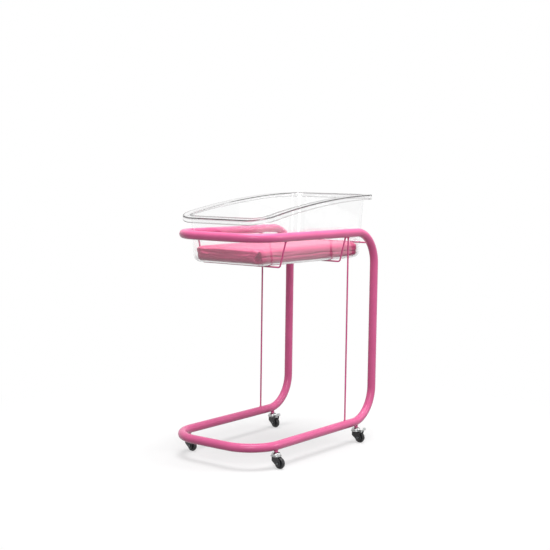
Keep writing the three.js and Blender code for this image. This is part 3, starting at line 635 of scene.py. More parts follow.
def padSurface(inset, drop):
    # Two grids for top and bottom, and rings round the side between them
    baseX, baseY = padHalves(0)
    countX, countY = round(2 * baseX / matSet["step"]), round(2 * baseY / matSet["step"])
    s, t = np.linspace(-1, 1, countX + 1), np.linspace(-1, 1, countY + 1)
    around = [(s[:-1], -1 + 0 * s[:-1]), (1 + 0 * t[:-1], t[:-1]),
              (s[:0:-1], 1 + 0 * s[1:]), (-1 + 0 * t[1:], t[:0:-1])]
    ringS = np.concatenate([pair[0] for pair in around])
    ringT = np.concatenate([pair[1] for pair in around])
    x, y = roundedPlan(ringS, ringT, baseX, baseY, matRadius)
    outward, _ = padPlace(x, y, 0)
    ends = np.where(outward[:, 0] < 0, matSet["footEdge"], matSet["headEdge"])
    edge = ends * outward[:, 0] ** 2 + matSet["longEdge"] * outward[:, 1] ** 2
    height, low, cap = matHeight - drop, matSet["bottomEdge"], matSet["capInset"]
    rows = [(cap + 0 * edge, 0 * edge)]
    for a in np.linspace(0, np.pi / 2, 6):
        rows.append((low * (1 - math.sin(a)) + 0 * edge, low * (1 - math.cos(a)) + 0 * edge))
    for share in np.linspace(0, 1, matSet["sideRows"] + 2)[1:-1]:
        rows.append((0 * edge, low + share * (height - edge - low)))
    for a in np.linspace(0, np.pi / 2, 6):
        rows.append((edge * (1 - math.cos(a)), height - edge * (1 - math.sin(a))))
    rows += [(edge + (cap - edge) * share, height + 0 * edge) for share in (0.5, 1.0)]
    rings = []
    for rowInset, z in rows:
        halfX, halfY = padHalves(z)
        draw = rowInset + inset
        x, y = roundedPlan(ringS, ringT, halfX - draw, halfY - draw, matRadius - rowInset)
        rings.append(np.stack([x, y, z], -1))
    caps = []
    gridS, gridT = np.meshgrid(s, t, indexing="ij")
    for z in (0.0, height):
        halfX, halfY = padHalves(z)
        x, y = roundedPlan(gridS, gridT, halfX - cap - inset, halfY - cap - inset, matRadius - cap)
        caps.append(np.stack([x, y, z + 0 * x], -1).reshape(-1, 3))
    rings = np.array(rings)
    points = np.vstack([caps[0], rings.reshape(-1, 3), caps[1]])
    capQuads = gridQuads(countX + 1, countY + 1, wrapColumns=False)
    sideQuads = gridQuads(*rings.shape[:2])
    capCount, ringCount = len(caps[0]), rings.size // 3
    quads = np.vstack([capQuads, sideQuads + capCount, capQuads + capCount + ringCount])
    # Sides drawn in between the corners, and a crowned top
    alongX, alongY = 1 - (points[:, 0] / baseX) ** 2, 1 - (points[:, 1] / baseY) ** 2
    points[:, 1] *= 1 - matSet["pullIn"] / baseY * alongX
    points[:, 0] *= 1 - matSet["pullIn"] / baseX * alongY
    crown = np.clip(alongX, 0, 1) ** 0.5 * np.clip(alongY, 0, 1) ** 0.5
    points[:, 2] += matSet["crown"] * crown * points[:, 2] / matHeight
    return points, quads


def readRows(items, key):
    flat = np.empty(len(items) * 3, np.float32)
    items.foreach_get(key, flat)
    return flat.reshape(-1, 3).astype(float)


def swell(piece):
    # Cloth with air inside and no gravity, then no point moves further than the cap
    start = readRows(piece.data.vertices, "co")
    cloth = piece.modifiers.new("swell", "CLOTH")
    for key, value in clothSet.items():
        setattr(cloth.settings, key, value)
    cloth.settings.effector_weights.gravity = 0
    cloth.point_cache.frame_end = matSet["frames"]
    for step in range(1, matSet["frames"] + 1):
        bpy.context.scene.frame_set(step)
    done = piece.evaluated_get(bpy.context.evaluated_depsgraph_get())
    moved = readRows(done.data.vertices, "co") - start
    piece.modifiers.remove(cloth)
    bpy.context.scene.frame_set(1)
    length = np.linalg.norm(moved, axis=1, keepdims=True)
    moved *= np.minimum(1, matSet["cap"] / np.maximum(length, 1e-9))
    piece.data.vertices.foreach_set("co", (start + moved).ravel().astype(np.float32))
    print("cover swollen by", round(float(np.mean(length)) * 1000, 2), "mm on average")


def subdivided(piece):
    # One level of subdivision, applied
    modifier = piece.modifiers.new("smooth", "SUBSURF")
    modifier.levels = modifier.render_levels = 1
    done = piece.evaluated_get(bpy.context.evaluated_depsgraph_get())
    finer = bpy.data.meshes.new_from_object(done)
    piece.modifiers.remove(modifier)
    coarse = piece.data
    piece.data = finer
    bpy.data.meshes.remove(coarse)
    finer.name = piece.name


def tuck(along, up):
    # A folded corner, in millimetres: a kite between lines through its apex at (4, 51), its
    # left point (-23, 21), its foot (-6, 0) and its right edge; with a rolled edge beside it
    def beside(x0, z0, x1, z1):
        length = math.hypot(x1 - x0, z1 - z0)
        return ((along - x0) * (z1 - z0) - (up - z0) * (x1 - x0)) / length

    left = np.minimum(beside(-23, 21, 4, 51), beside(-6, 0, -23, 21))
    right = -beside(19, 0, 8, 51)
    inside = smoothStep(-0.6, 2.0, left) * smoothStep(-1.0, 5.0, right) * smoothStep(54, 47, up)
    roll = hump(left + 3.0, 2.6) * smoothStep(0, 6, right) * smoothStep(54, 46, up)
    return inside, roll


def press(piece):
    # Moves points along their normals: a crease half-way up the long sides, fine lines on
    # the foot end, stretch lines on the head end, folded corners at the foot, waves on top.
    # Keeps painted shade, 0 to 1, as "foldShade": darker in the folded corners, creases and fine lines.
    mesh = piece.data
    points, normals = readRows(mesh.vertices, "co"), readRows(mesh.vertex_normals, "vector")
    x, y, z = points.T
    share = np.clip(z / matHeight, 0, 1)
    outward, _ = padPlace(x, y, z)
    side = smoothStep(0.3, 0.75, 1 - np.abs(normals[:, 2]))
    long, foot = outward[:, 1] ** 2, outward[:, 0] ** 2 * (outward[:, 0] < 0)
    head = outward[:, 0] ** 2 * (outward[:, 0] > 0)
    sway = 0.035 * np.sin(17 * x + 0.6) + 0.02 * np.sin(41 * x + 2.0 + 3 * np.sign(y))
    line = share - matSet["creaseHeight"] - sway
    strength = 0.75 + 0.25 * np.sin(23 * x + 1.3) + 0.15 * np.sin(57 * x)
    crease = hump(line, 0.055) * long * strength
    minor = hump(line - 0.24, 0.04) * long * smoothStep(0.1, 0.9, np.sin(13 * x + 4))
    minor += hump(line + 0.22, 0.045) * long * smoothStep(-0.2, 0.9, np.sin(11 * x + 1))
    # The foot end's fine lines draw together a little toward the near side
    fan = (share - 0.5) * (1 - y) + 0.04 * np.sin(21 * y + 1) + 0.02 * np.sin(67 * y)
    lines = (np.abs(np.sin(np.pi * (matSet["lineCount"] * fan + 0.2))) ** 0.7 - 0.65) * foot
    lines *= 0.6 + 0.4 * np.sin(31 * y + 9 * share)
    pull = np.sin(2 * np.pi * (x + y) / matSet["stretchPitch"] + 1.4 * np.sin(9 * share))
    stretch = pull * smoothStep(0.2, 0.9, head) * (0.4 + 0.6 * share)
    push = side * (matSet["lineDepth"] * lines + matSet["stretchDepth"] * stretch
                   - matSet["creaseDepth"] * crease - matSet["minorDepth"] * minor)
    halfX, halfY = padHalves(z)
    turn = np.arctan2(np.abs(outward[:, 1]), np.maximum(-outward[:, 0], 0)) - np.pi / 4
    straight = np.maximum(x + halfX - matRadius, 0) - np.maximum(halfY - matRadius - np.abs(y), 0)
    inside, roll = tuck(1000 * (matRadius * turn + straight), 1000 * z)
    atFoot = side * (x < -halfX + matSet["tuckReach"])
    push = push * (1 - inside * atFoot)
    push += atFoot * (matSet["tuckRoll"] * roll - matSet["tuckDepth"] * inside)
    waves = 0.5 * np.sin(29 * x + 11 * y) + 0.5 * np.sin(43 * y - 17 * x + 1)
    waves += 0.4 * np.sin(61 * x + 37 * y)
    push += matSet["waveHeight"] * waves * smoothStep(0.75, 0.95, normals[:, 2])
    points += normals * push[:, None]
    # Nothing reaches past the tub's inner wall and rounded floor edge, less the gap
    low = matSet["bottomEdge"]
    points[:, 2] = np.maximum(points[:, 2], 0)
    rounded = low - np.sqrt(np.maximum(low ** 2 - np.maximum(low - points[:, 2], 0) ** 2, 0))
    outward, distance = padPlace(*points.T)
    points[:, :2] -= outward * np.maximum(distance + rounded, 0)[:, None]
    # Painted shade for the folded corners, the creases and the foot end's fine lines
    shade = 0.75 * inside * atFoot
    shade += side * (0.55 * crease + 0.3 * minor + 0.45 * np.clip(-lines, 0, 1))
    mesh.vertices.foreach_set("co", (points + matCentre).ravel().astype(np.float32))
    layer = mesh.attributes.new("foldShade", "FLOAT", "POINT")
    layer.data.foreach_set("value", np.clip(shade, 0, 1).astype(np.float32))
    mesh.update()


def makeMattress():
    points, quads = padSurface(matSet["startInset"], matSet["startDrop"])
    mattress = makeObject("covered_mattress", points, quads, materialOf["coated_fabric"],
                          sharpDegrees=80.0, merge=1e-6)
    swell(mattress)
    subdivided(mattress)
    press(mattress)
    mattress.data.shade_smooth()
    dress(mattress, "mattress", "mattress")


makeMattress()
print("mattress made")


# Casters: built about their stem with the wheel trailing along +X, then turned

casterSet = {
    "wheelRadius": 0.021, "trail": 0.0195, "sides": 56,
    "trailDegrees": {"near_foot": -98, "near_head": -95, "far_foot": -101, "far_head": -105},
    "braked": ("near_head", "far_head"),
}
weldSet = {
    "bossRadius": 0.007, "edge": 0.0006, "bore": 0.0043, "boreEdge": 0.0004, "overBore": 0.0046,
    "toeRadius": 0.0094, "rise": 0.0026, "toeSink": 0.0006, "rootSink": 0.0012,
    "ripple": 0.00025, "ripples": 11, "sides": 48,
}
bellSet = {
    "bore": 0.0043, "rim": 0.017, "edge": 0.0008, "rimHeight": 0.002, "domeCentre": 0.0095,
    "domeReach": 0.0073, "domeFoot": 0.0026, "domeRise": 0.0076, "neck": 0.009,
}
raceSet = {
    "bore": 0.0044, "rim": 0.0195, "edge": 0.0007, "grooveOut": 0.0178, "grooveIn": 0.0122,
    "slope": 0.0006, "groove": 0.0009, "outStep": 0.0003, "inStep": 0.0002,
}
stemSet = {
    "flat": 0.0062, "dome": 0.0009, "head": 0.0032, "lowEdge": 0.0008, "highEdge": 0.0006,
    "shank": 0.004, "neck": 0.0002, "neckHeight": 0.0003, "chamfer": 0.0005, "sides": 40,
}
tyreSet = {
    "bead": ((0.015, 0.0058), (0.0162, 0.0064), (0.0172, 0.0069)),  # (radius, half width)
    "shoulder": (0.018, 0.006, 0.001), "crown": 0.0055, "sides": 72,
}
hubSet = {
    "rim": 0.0147, "rimIn": 0.0125, "rimHalf": 0.0053, "rimEdge": 0.0003, "webHalf": 0.003,
    "webRound": 0.001, "boss": 0.0056, "bossHalf": 0.0079, "bossEdge": 0.0004, "bore": 0.0033,
}
forkSet = {
    "legMiddle": 0.0098, "plate": 0.003, "frontReach": 0.0135, "rearReach": 0.014,
    "noseZ": 0.028, "topZ": 0.0427, "endRadius": 0.0125, "turn": 0.0032, "edge": 0.0007,
    "earRadius": 0.0042, "earThickness": 0.0027, "earEdge": 0.0005,
}
boltSet = {
    "face": 0.0116, "radius": 0.003, "tip": 0.0004, "headRadius": 0.005, "head": 0.0035,
    "nut": 0.0045, "nutBore": 0.0032, "washer": 0.0004, "washerShare": 0.86,
    "cornerCut": 0.16, "cutSlope": 0.577, "inHead": 0.0001, "sides": 32, "hexPoints": 72,
}
pedalSet = {
    "pin": (0.026667, 0.045993), "pinRadius": 0.0015, "pinEdge": 0.0003, "halfWidth": 0.0079,
    "earReach": 0.0113, "barrel": 0.0039, "cam": 0.0049, "camDegrees": 24.0, "camWrapDegrees": 22.5,
    "length": 0.0165, "thickness": 0.0022, "riseDegrees": 12.0, "lip": 0.011, "edge": 0.0004,
    "bend": ((0.0012, 0.0), (0.0003, 0.0004), (0.0, 0.0014)),  # (back from the lip, up)
    "lipEdge": 0.0006, "innerBend": (0.0012, 0.0016),
}


def placed(points, place):
    return points.reshape(-1, 3) @ np.array(place.to_3x3()).T + np.array(place.translation)


def turned(rings, sides):
    # Rings of (r, h), a number or one value to a side: point = (r cos a, r sin a, h)
    angle = np.linspace(0, 2 * np.pi, sides, endpoint=False)
    grid = [np.stack([r * np.cos(angle), r * np.sin(angle), h + 0 * angle], -1) for r, h in rings]
    return np.array(grid), gridQuads(len(rings), sides, wrapRows=rings[0][0] > 0)


def arcPoints(centreR, centreH, radius, start, end, count):
    angle = np.radians(np.linspace(start, end, count))
    return [(centreR + radius * math.cos(a), centreH + radius * math.sin(a)) for a in angle]


def prism(outline, middleY, half, bevel):
    # An outline in X and Z carried along Y: rings drawn in by the bevel at both ends
    outline = np.array(outline, float)
    count = len(outline)
    edges = np.roll(outline, -1, 0) - outline
    outward = np.stack([edges[:, 1], -edges[:, 0]], -1)
    outward /= np.linalg.norm(outward, axis=1, keepdims=True)
    corner = outward + np.roll(outward, 1, 0)
    corner /= np.maximum(np.sum(corner * outward, axis=1, keepdims=True), 0.4)
    rings = []
    for end, draw, back in ((-1, 1, 0), (-1, 0.3, 0.3), (-1, 0, 1), (1, 0, 1), (1, 0.3, 0.3), (1, 1, 0)):
        drawn = outline - corner * bevel * draw
        y = middleY + end * (half - bevel * back)
        rings.append(np.stack([drawn[:, 0], np.full(count, y), drawn[:, 1]], -1))
    faces = gridQuads(len(rings), count).tolist()
    lastRing = (len(rings) - 1) * count
    faces += [list(range(count)), list(range(lastRing, lastRing + count))[::-1]]
    return np.array(rings).reshape(-1, 3), faces


def joined(parts):
    points, faces, offset = [], [], 0
    for partPoints, partFaces in parts:
        points.append(partPoints.reshape(-1, 3))
        faces += [[int(index) + offset for index in face] for face in partFaces]
        offset += len(points[-1])
    return np.vstack(points), faces


def addCasterPiece(caster, label, node, rider, slotName, place, shape, **more):
    # It rides the frame, or a body of its own caster
    points, faces = shape
    body = rider if rider == "frame" else caster + "_" + rider
    addPiece(caster + "_" + label, caster + "_" + node, body, slotName, placed(points, place), faces, **more)


def casterPlace(name):
    stem = middle(name + "_caster_stem")
    turn = Matrix.Rotation(math.radians(casterSet["trailDegrees"][name]), 4, "Z")
    return Matrix.Translation((stem[0], stem[1], 0)) @ turn


def tubeUnderside(x, y, side):
    # Straight tube: z - sqrt(R^2 - d^2); past the bend's start the same about the bend's centre
    bend = tubeSet["bendRadius"]
    drop = np.sqrt(tubeRadius ** 2 - (y - sideY[side]) ** 2)
    past = np.maximum(x - (uprightX - bend), 0)
    return railZ["base"] + bend - np.sqrt((bend + drop) ** 2 - past ** 2)


def makeBoss(name):
    # A bush through the tube's wall with a weld bead that follows the tube's underside
    bottom, top = levels(name + "_caster_boss")
    stemX, stemY, _ = middle(name + "_caster_stem")
    angle = np.linspace(0, 2 * np.pi, weldSet["sides"], endpoint=False)
    radius, toe, rise = pick(weldSet, "bossRadius toeRadius rise")
    bore, boreTop = weldSet["bore"], top - weldSet["overBore"]
    edge, boreEdge = pick(weldSet, "edge boreEdge")
    rings = [(0.0, boreTop), (bore, boreTop), (bore, bottom + boreEdge), (bore + boreEdge, bottom),
             (radius - edge, bottom), (radius, bottom + edge)]
    bead = [(radius + (toe - radius) * (1 - math.cos(a)), -rise * (1 - math.sin(a)))
            for a in np.linspace(0, np.pi / 2, 7)]
    for r, h in bead + [(toe, weldSet["toeSink"]), (radius, weldSet["rootSink"])]:
        tube = tubeUnderside(stemX + r * np.cos(angle), stemY + r * np.sin(angle), name.split("_")[0])
        ripple = weldSet["ripple"] * np.sin(weldSet["ripples"] * angle) * (-rise < h < 0)
        rings.append((r, tube + h + ripple))
    rings += [(radius, top), (0.0, top)]
    addCasterPiece(name, "welded_boss", "caster_boss", "frame", "powder_coat",
                   Matrix.Translation((stemX, stemY, 0)), turned(rings, weldSet["sides"]))


def makeBell(name, place):
    bottom, top = levels(name + "_caster_bell")
    bore, rim, edge, neck = pick(bellSet, "bore rim edge neck")
    rings = [(bore, bottom), (rim - edge, bottom)]
    rings += arcPoints(rim - edge, bottom + edge, edge, -90, 0, 5) + [(rim, bottom + bellSet["rimHeight"])]
    rings += [(bellSet["domeCentre"] + bellSet["domeReach"] * math.cos(a),
               bottom + bellSet["domeFoot"] + bellSet["domeRise"] * math.sin(a))
              for a in np.radians(np.linspace(0, 82, 10))]
    rings += arcPoints(neck - edge, top - edge, edge, 30, 90, 4) + [(bore, top)]
    addCasterPiece(name, "bearing_bell", "caster_bell", "frame", "zinc_plate", place,
                   turned(rings, casterSet["sides"]), sharpDegrees=50.0)


def makeRace(name, place):
    bottom, top = levels(name + "_caster_crown")
    rim, edge, slope, groove = pick(raceSet, "rim edge slope groove")
    outside, inside = pick(raceSet, "grooveOut grooveIn")
    rings = [(raceSet["bore"], bottom), (rim - edge, bottom)]
    rings += arcPoints(rim - edge, bottom + edge, edge, -90, 0, 5)
    rings += arcPoints(rim - edge, top - edge, edge, 0, 90, 5)
    rings += [(outside, top - raceSet["outStep"]), (outside - slope, top - groove),
              (inside + slope, top - groove), (inside, top - raceSet["inStep"]), (inside - slope, top),
              (raceSet["bore"], top)]
    addCasterPiece(name, "race_plate", "caster_crown", "swivel", "zinc_plate", place,
                   turned(rings, casterSet["sides"]), sharpDegrees=40.0)


def makeStem(name, place):
    # Its riveted head is a shallow dome, drawn from near its middle out
    bottom, top = levels(name + "_caster_stem")
    head = bottom + stemSet["head"]
    flat, dome, shank, chamfer = pick(stemSet, "flat dome shank chamfer")
    rings = [(0.0, bottom)] + [(flat * math.sin(a), bottom + dome * (1 - math.cos(a)))
                               for a in np.radians(np.linspace(20, 90, 5))]
    rings += arcPoints(flat, bottom + dome + stemSet["lowEdge"], stemSet["lowEdge"], -90, 0, 4)
    rings += arcPoints(flat, head - stemSet["highEdge"], stemSet["highEdge"], 0, 90, 4)
    rings += [(shank + stemSet["neck"], head), (shank, head + stemSet["neckHeight"]),
              (shank, top - chamfer), (shank - chamfer, top), (0.0, top)]
    addCasterPiece(name, "riveted_stem", "caster_stem", "frame", "zinc_plate", place,
                   turned(rings, stemSet["sides"]))


def hexShape(base, height, bore):
    # A hexagon along Z with a washer face below and corners turned off at 30 degrees above.
    # Its side lies at r cos 30 / cos f, f being the angle from the side's middle.
    full, washer = boltSet["headRadius"], base + boltSet["washer"]
    angle = np.linspace(0, 2 * np.pi, boltSet["hexPoints"], endpoint=False)
    hexagon = full * math.cos(math.pi / 6) / np.cos(np.mod(angle, np.pi / 3) - np.pi / 6)
    cut = full * boltSet["cornerCut"]
    rounded = full * boltSet["washerShare"]
    rings = [(bore, base), (rounded, base), (rounded, washer), (hexagon, washer)]
    rings += [(np.minimum(hexagon, full - cut * share),
               base + height - cut * boltSet["cutSlope"] * (1 - share)) for share in (0.0, 0.35, 0.7, 1.0)]
    return turned(rings + [(bore, base + height)], boltSet["hexPoints"])


def makeAxle(name, wheelPlace):
    # Local -Z of the wheel is the bolt's head side
    face, radius, tip = pick(boltSet, "face radius tip")
    end, shankTop = -face - boltSet["nut"], face + boltSet["inHead"]
    shank = turned([(0.0, end), (radius - tip, end), (radius, end + tip), (radius, shankTop),
                    (0.0, shankTop)], boltSet["sides"])
    bolt = joined([hexShape(face, boltSet["head"], 0.0), shank])
    flip = Matrix.Rotation(math.pi, 4, "X")
    addCasterPiece(name, "hex_bolt", "axle_bolt", "swivel", "zinc_plate", wheelPlace @ flip, bolt,
                   material=darkRoughZinc, sharpDegrees=28.0)
    addCasterPiece(name, "hex_nut", "axle_nut", "swivel", "zinc_plate", wheelPlace,
                   hexShape(face, boltSet["nut"], boltSet["nutBore"]), material=darkRoughZinc, sharpDegrees=28.0)


def forkLimits(x):
    # Lower and upper edge of a leg at x: straight edges that touch the round end about the axle
    axleX, axleZ, radius = casterSet["trail"], casterSet["wheelRadius"], forkSet["endRadius"]

    def touch(px, pz, sign):
        toward = math.atan2(pz - axleZ, px - axleX)
        angle = toward + sign * math.acos(radius / math.hypot(px - axleX, pz - axleZ))
        return axleX + radius * math.cos(angle), axleZ + radius * math.sin(angle)

    noseX, noseZ = -forkSet["frontReach"], forkSet["noseZ"]
    rearX, topZ = pick(forkSet, "rearReach topZ")
    lowX, lowZ = touch(noseX, noseZ, 1)
    highX, highZ = touch(rearX, topZ, -1)
    bow = np.sqrt(np.maximum(radius ** 2 - (x - axleX) ** 2, 0))
    lower = np.where(x < lowX, np.interp(x, [noseX, lowX], [noseZ, lowZ]), axleZ - bow)
    upper = np.where(x < highX, np.interp(x, [rearX, highX], [topZ, highZ]), axleZ + bow)
    return lower, upper


def forkWrap():
    # A plate carried round a U in plan, its height cut by the leg's outline
    mid, turn, trail = forkSet["legMiddle"], forkSet["turn"], casterSet["trail"]
    half = forkSet["plate"] / 2
    noseX = -forkSet["frontReach"] + half
    rear = trail + forkSet["endRadius"] * np.sin(np.linspace(np.pi / 2, 0, 16))
    run = np.concatenate([rear, np.linspace(trail, noseX + turn, 14)[1:]])
    still = np.zeros(len(run))
    arc = np.linspace(0, np.pi / 2, 8)[1:]
    leg = np.hstack([[run, mid + still, still, 1 + still],
                     [noseX + turn * (1 - np.sin(arc)), mid - turn * (1 - np.cos(arc)),
                      -np.sin(arc), np.cos(arc)]])
    otherLeg = leg[:, ::-1] * np.array([[1], [-1], [1], [-1]])
    xs, ys, outX, outY = np.hstack([leg, otherLeg])[:, :, None]
    lower, upper = forkLimits(xs)
    onNose = np.clip((mid - np.abs(ys)) / turn, 0, 1)
    lower = lower + (forkSet["noseZ"] - lower) * onNose
    edge = np.minimum(forkSet["edge"], np.maximum(upper - lower, 0) * 0.49)
    quarter = np.radians(np.linspace(0, 90, 5))
    ring = []
    for out, up, start in ((1, 1, 0), (-1, 1, 90), (-1, -1, 180), (1, -1, 270)):
        angle = quarter + math.radians(start)
        across = out * (half - edge) + edge * np.cos(angle)
        height = (upper - edge if up > 0 else lower + edge) + edge * np.sin(angle)
        ring.append(np.stack([xs + outX * across, ys + outY * across, height], -1))
    grid = np.concatenate(ring, 1)
    return grid, gridQuads(*grid.shape[:2])


def makeFork(name, place):
    parts = [forkWrap()]
    if name in casterSet["braked"]:
        # Ears that run from the axle up to the pedal's pin
        pinX, pinZ = pedalSet["pin"]
        axleX, axleZ, radius = casterSet["trail"], casterSet["wheelRadius"], forkSet["earRadius"]
        toPin = math.degrees(math.atan2(pinZ - axleZ, pinX - axleX))
        outline = arcPoints(pinX, pinZ, radius, toPin - 90, toPin + 90, 15)
        outline += arcPoints(axleX, axleZ, radius, toPin + 90, toPin + 270, 15)
        for y in (-forkSet["legMiddle"], forkSet["legMiddle"]):
            parts.append(prism(outline, y, forkSet["earThickness"] / 2, forkSet["earEdge"]))
    addCasterPiece(name, "moulded_fork", "fork", "swivel", "black_nylon", place, joined(parts),
                   sharpDegrees=40.0)


def makePedal(name, place):
    # Barrel, cam and plate with a lip, drawn about the pin
    rise = math.radians(pedalSet["riseDegrees"])
    along, across = np.array([math.cos(rise), math.sin(rise)]), np.array([-math.sin(rise), math.cos(rise)])
    pin = np.array(pedalSet["pin"])
    barrel, thick, length = pick(pedalSet, "barrel thickness length")
    under, lipTop = barrel - thick, barrel - thick + pedalSet["lip"]
    toAxle = np.array([casterSet["trail"], casterSet["wheelRadius"]]) - pin
    camAngle = math.degrees(math.atan2(toAxle[1], toAxle[0])) + pedalSet["camDegrees"]
    outline = arcPoints(0, 0, barrel, pedalSet["riseDegrees"] + 90,
                        camAngle - pedalSet["camWrapDegrees"] + 360, 16)
    outline += arcPoints(0, 0, pedalSet["cam"], camAngle, camAngle, 1)
    lipEdge, (backIn, upIn) = pedalSet["lipEdge"], pedalSet["innerBend"]
    corners = [(math.sqrt(barrel ** 2 - under ** 2), under)]
    corners += [(length - back, under + up) for back, up in pedalSet["bend"]]
    corners += [(length, lipTop), (length - lipEdge, lipTop - lipEdge),
                (length - thick * 0.75, barrel + upIn), (length - thick - backIn, barrel)]
    outline += [run * along + height * across for run, height in corners]
    plate = prism(np.array(outline) + pin, 0, pedalSet["halfWidth"], pedalSet["edge"])
    addCasterPiece(name, "pedal_plate", "brake_pedal", "pedal", "zinc_plate", place, plate,
                   sharpDegrees=30.0)
    reach, radius, edge = pick(pedalSet, "earReach pinRadius pinEdge")
    rivet = [(0.0, -reach), (radius - edge, -reach), (radius, edge - reach),
             (radius, reach - edge), (radius - edge, reach), (0.0, reach)]
    pinPlace = place @ Matrix.Translation((pin[0], 0, pin[1])) @ Matrix.Rotation(math.radians(90), 4, "X")
    addCasterPiece(name, "pedal_rivet", "pedal_pin", "swivel", "zinc_plate", pinPlace, turned(rivet, 24))


def makeTyre(name, wheelPlace):
    shoulderR, shoulderH, shoulder = tyreSet["shoulder"]
    crown = tyreSet["crown"]
    flank = [*tyreSet["bead"], *arcPoints(shoulderR, shoulderH, shoulder, 90, 40, 4)]
    rings = [(r, -h) for r, h in flank]
    rings += arcPoints(casterSet["wheelRadius"] - crown, 0.0, crown, -58, 58, 13)[1:-1] + flank[::-1]
    addCasterPiece(name, "tyre_ring", "tyre", "wheel", "black_rubber", wheelPlace,
                   turned(rings, tyreSet["sides"]), sharpDegrees=50.0)


def makeHub(name, wheelPlace):
    # Half of the profile from the rim's middle to the bore, then the same on the other side
    rim, rimIn, half, edge = pick(hubSet, "rim rimIn rimHalf rimEdge")
    boss, bossHalf, bossEdge = pick(hubSet, "boss bossHalf bossEdge")
    turn = hubSet["webRound"]
    flank = [(rim, 0.0), (rim, half - edge), (rim - edge, half), (rimIn + edge, half), (rimIn, half - edge)]
    flank += arcPoints(rimIn - turn, hubSet["webHalf"] + turn, turn, 0, -90, 5)
    flank += arcPoints(boss + turn, hubSet["webHalf"] + turn, turn, 270, 180, 5)
    flank += [(boss, bossHalf - bossEdge), (boss - bossEdge, bossHalf), (hubSet["bore"], bossHalf)]
    rings = [(r, -h) for r, h in flank[:0:-1]] + flank
    addCasterPiece(name, "wheel_hub", "hub", "wheel", "grey_nylon", wheelPlace,
                   turned(rings, casterSet["sides"]))


def makeCasters():
    for name in casterSet["trailDegrees"]:
        place = casterPlace(name)
        axle = Matrix.Translation((casterSet["trail"], 0, casterSet["wheelRadius"]))
        wheelPlace = place @ axle @ Matrix.Rotation(math.radians(90), 4, "X")
        makeBoss(name)
        makeBell(name, place)
        makeRace(name, place)
        makeStem(name, place)
        makeFork(name, place)
        makeAxle(name, wheelPlace)
        makeTyre(name, wheelPlace)
        makeHub(name, wheelPlace)
        if name in casterSet["braked"]:
            makePedal(name, place)


makeCasters()
print("casters made")


# Stage, light and camera

stageSet = {
    "glow": 0.55, "seenFloor": 0.39, "bounce": 0.1, "worldLight": 0.33,
    "innerRadius": 0.75, "outerRadius": 1.5, "halfSize": 30.0,
}
lampSet = {  # place, target, size, watts
    "overhead": ((0.0, -0.3, 4.6), (0, 0, 0.4), (3.0, 2.8), 215),
    "front": ((-2.8, -2.2, 1.9), (0, 0, 0.5), (1.6, 1.6), 44),
    "right": ((1.9, -2.9, 1.7), (0, 0, 0.5), (1.4, 1.8), 34),
}
cameraSet = {
    "place": (shiftX - 3.455249, middleY - 2.598593, 1.055418),
    "yaw": 0.92559, "pitch": 0.092754, "roll": 0.013771,
    "focalPixels": 1156.92, "imagePixels": 550, "sensor": 36.0, "clipEnd": 100,
}
white = (1, 1, 1, 1)


def lookedAt(tree):
    # 1 for the camera's rays and for what gloss and clear sheet show, 0 for soft light
    return anyRay(tree, "Is Camera Ray", "Is Glossy Ray", "Is Transmission Ray")


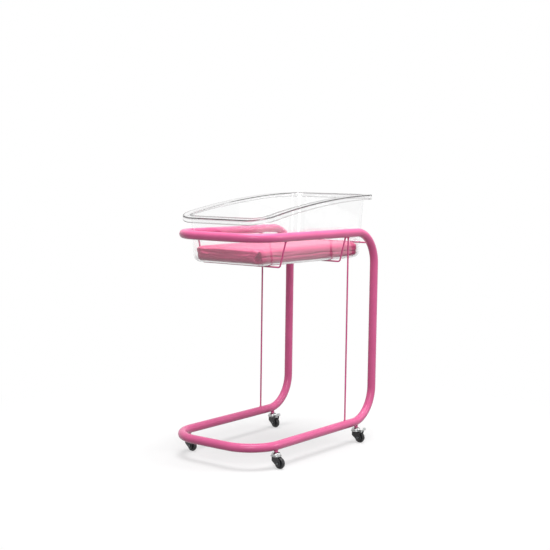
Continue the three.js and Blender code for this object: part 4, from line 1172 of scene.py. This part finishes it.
def makeFloor():
    # Seen, it glows a little below white and takes light up to white where nothing shades
    # it, and is plain white far out; for soft light it is a dim grey, so that little light
    # comes up from below
    material = bpy.data.materials.new("paleFloor")
    tree = emptyTree(material)
    place = addNode(tree, "TexCoord", (), "Object")
    distance = addNode(tree, "VectorMath", {"operation": "LENGTH", 0: place}, "Value")
    far = addNode(tree, "MapRange", {"interpolation_type": "SMOOTHSTEP", "Value": distance,
                                     "From Min": stageSet["innerRadius"],
                                     "From Max": stageSet["outerRadius"]})
    seen = lookedAt(tree)
    dim, pale = (stageSet["bounce"],) * 3 + (1,), (stageSet["seenFloor"],) * 3 + (1,)
    paint = addNode(tree, "BsdfDiffuse", {"Color": mixBy(tree, seen, dim, pale)})
    level = addNode(tree, "Math", {"operation": "MULTIPLY", 0: seen, 1: stageSet["glow"]})
    glow = addNode(tree, "Emission", {"Color": white, "Strength": level})
    near = addNode(tree, "AddShader", {0: paint, 1: glow})
    plain = addNode(tree, "Emission", {"Color": white, "Strength": 1.0})
    backdrop = addNode(tree, "Math", {"operation": "MULTIPLY", 0: far, 1: seen})
    surface = addNode(tree, "MixShader", {0: backdrop, 1: near, 2: plain})
    addNode(tree, "OutputMaterial", {"Surface": surface})
    mesh = bpy.data.meshes.new("floor")
    half = stageSet["halfSize"]
    mesh.from_pydata([(-half, -half, 0), (half, -half, 0), (half, half, 0), (-half, half, 0)], [],
                     [(0, 1, 2, 3)])
    mesh.materials.append(material)
    addToScene("floor", mesh)


def makeWorld():
    world = bpy.data.worlds.new("studio")
    bpy.context.scene.world = world
    tree = emptyTree(world)
    dim = addNode(tree, "Background", {"Color": white, "Strength": stageSet["worldLight"]})
    full = addNode(tree, "Background", {"Color": white, "Strength": 1.0})
    surface = addNode(tree, "MixShader", {0: lookedAt(tree), 1: dim, 2: full})
    addNode(tree, "OutputWorld", {"Surface": surface})


def addLamp(name, place, target, size, power):
    lamp = bpy.data.lights.new(name, "AREA")
    lamp.shape = "RECTANGLE"
    lamp.size, lamp.size_y = size
    lamp.energy = power
    holder = addToScene(name, lamp)
    holder.location = place
    direction = Vector(target) - Vector(place)
    holder.rotation_euler = direction.to_track_quat("-Z", "Y").to_euler()


def makeCamera():
    # Yaw from +Y toward +X, pitch down, roll about the line of sight, all in radians
    yaw, pitch, roll = pick(cameraSet, "yaw pitch roll")
    forward = Vector((math.sin(yaw) * math.cos(pitch), math.cos(yaw) * math.cos(pitch), -math.sin(pitch)))
    right = Vector((math.cos(yaw), -math.sin(yaw), 0))
    up = right.cross(forward)
    tiltedRight = math.cos(roll) * right + math.sin(roll) * up
    tiltedUp = -math.sin(roll) * right + math.cos(roll) * up
    camera = bpy.data.cameras.new("camera")
    camera.sensor_width = cameraSet["sensor"]
    camera.lens = cameraSet["focalPixels"] * cameraSet["sensor"] / cameraSet["imagePixels"]
    camera.clip_end = cameraSet["clipEnd"]
    holder = addToScene("camera", camera)
    turn = Matrix((tiltedRight, tiltedUp, -forward)).transposed().to_4x4()
    holder.matrix_world = Matrix.Translation(cameraSet["place"]) @ turn
    bpy.context.scene.camera = holder


makeFloor()
makeWorld()
for lampName, lampRow in lampSet.items():
    addLamp(lampName, *lampRow)
makeCamera()
bpy.context.scene.view_settings.view_transform = "Standard"
print("stage, light and camera made")
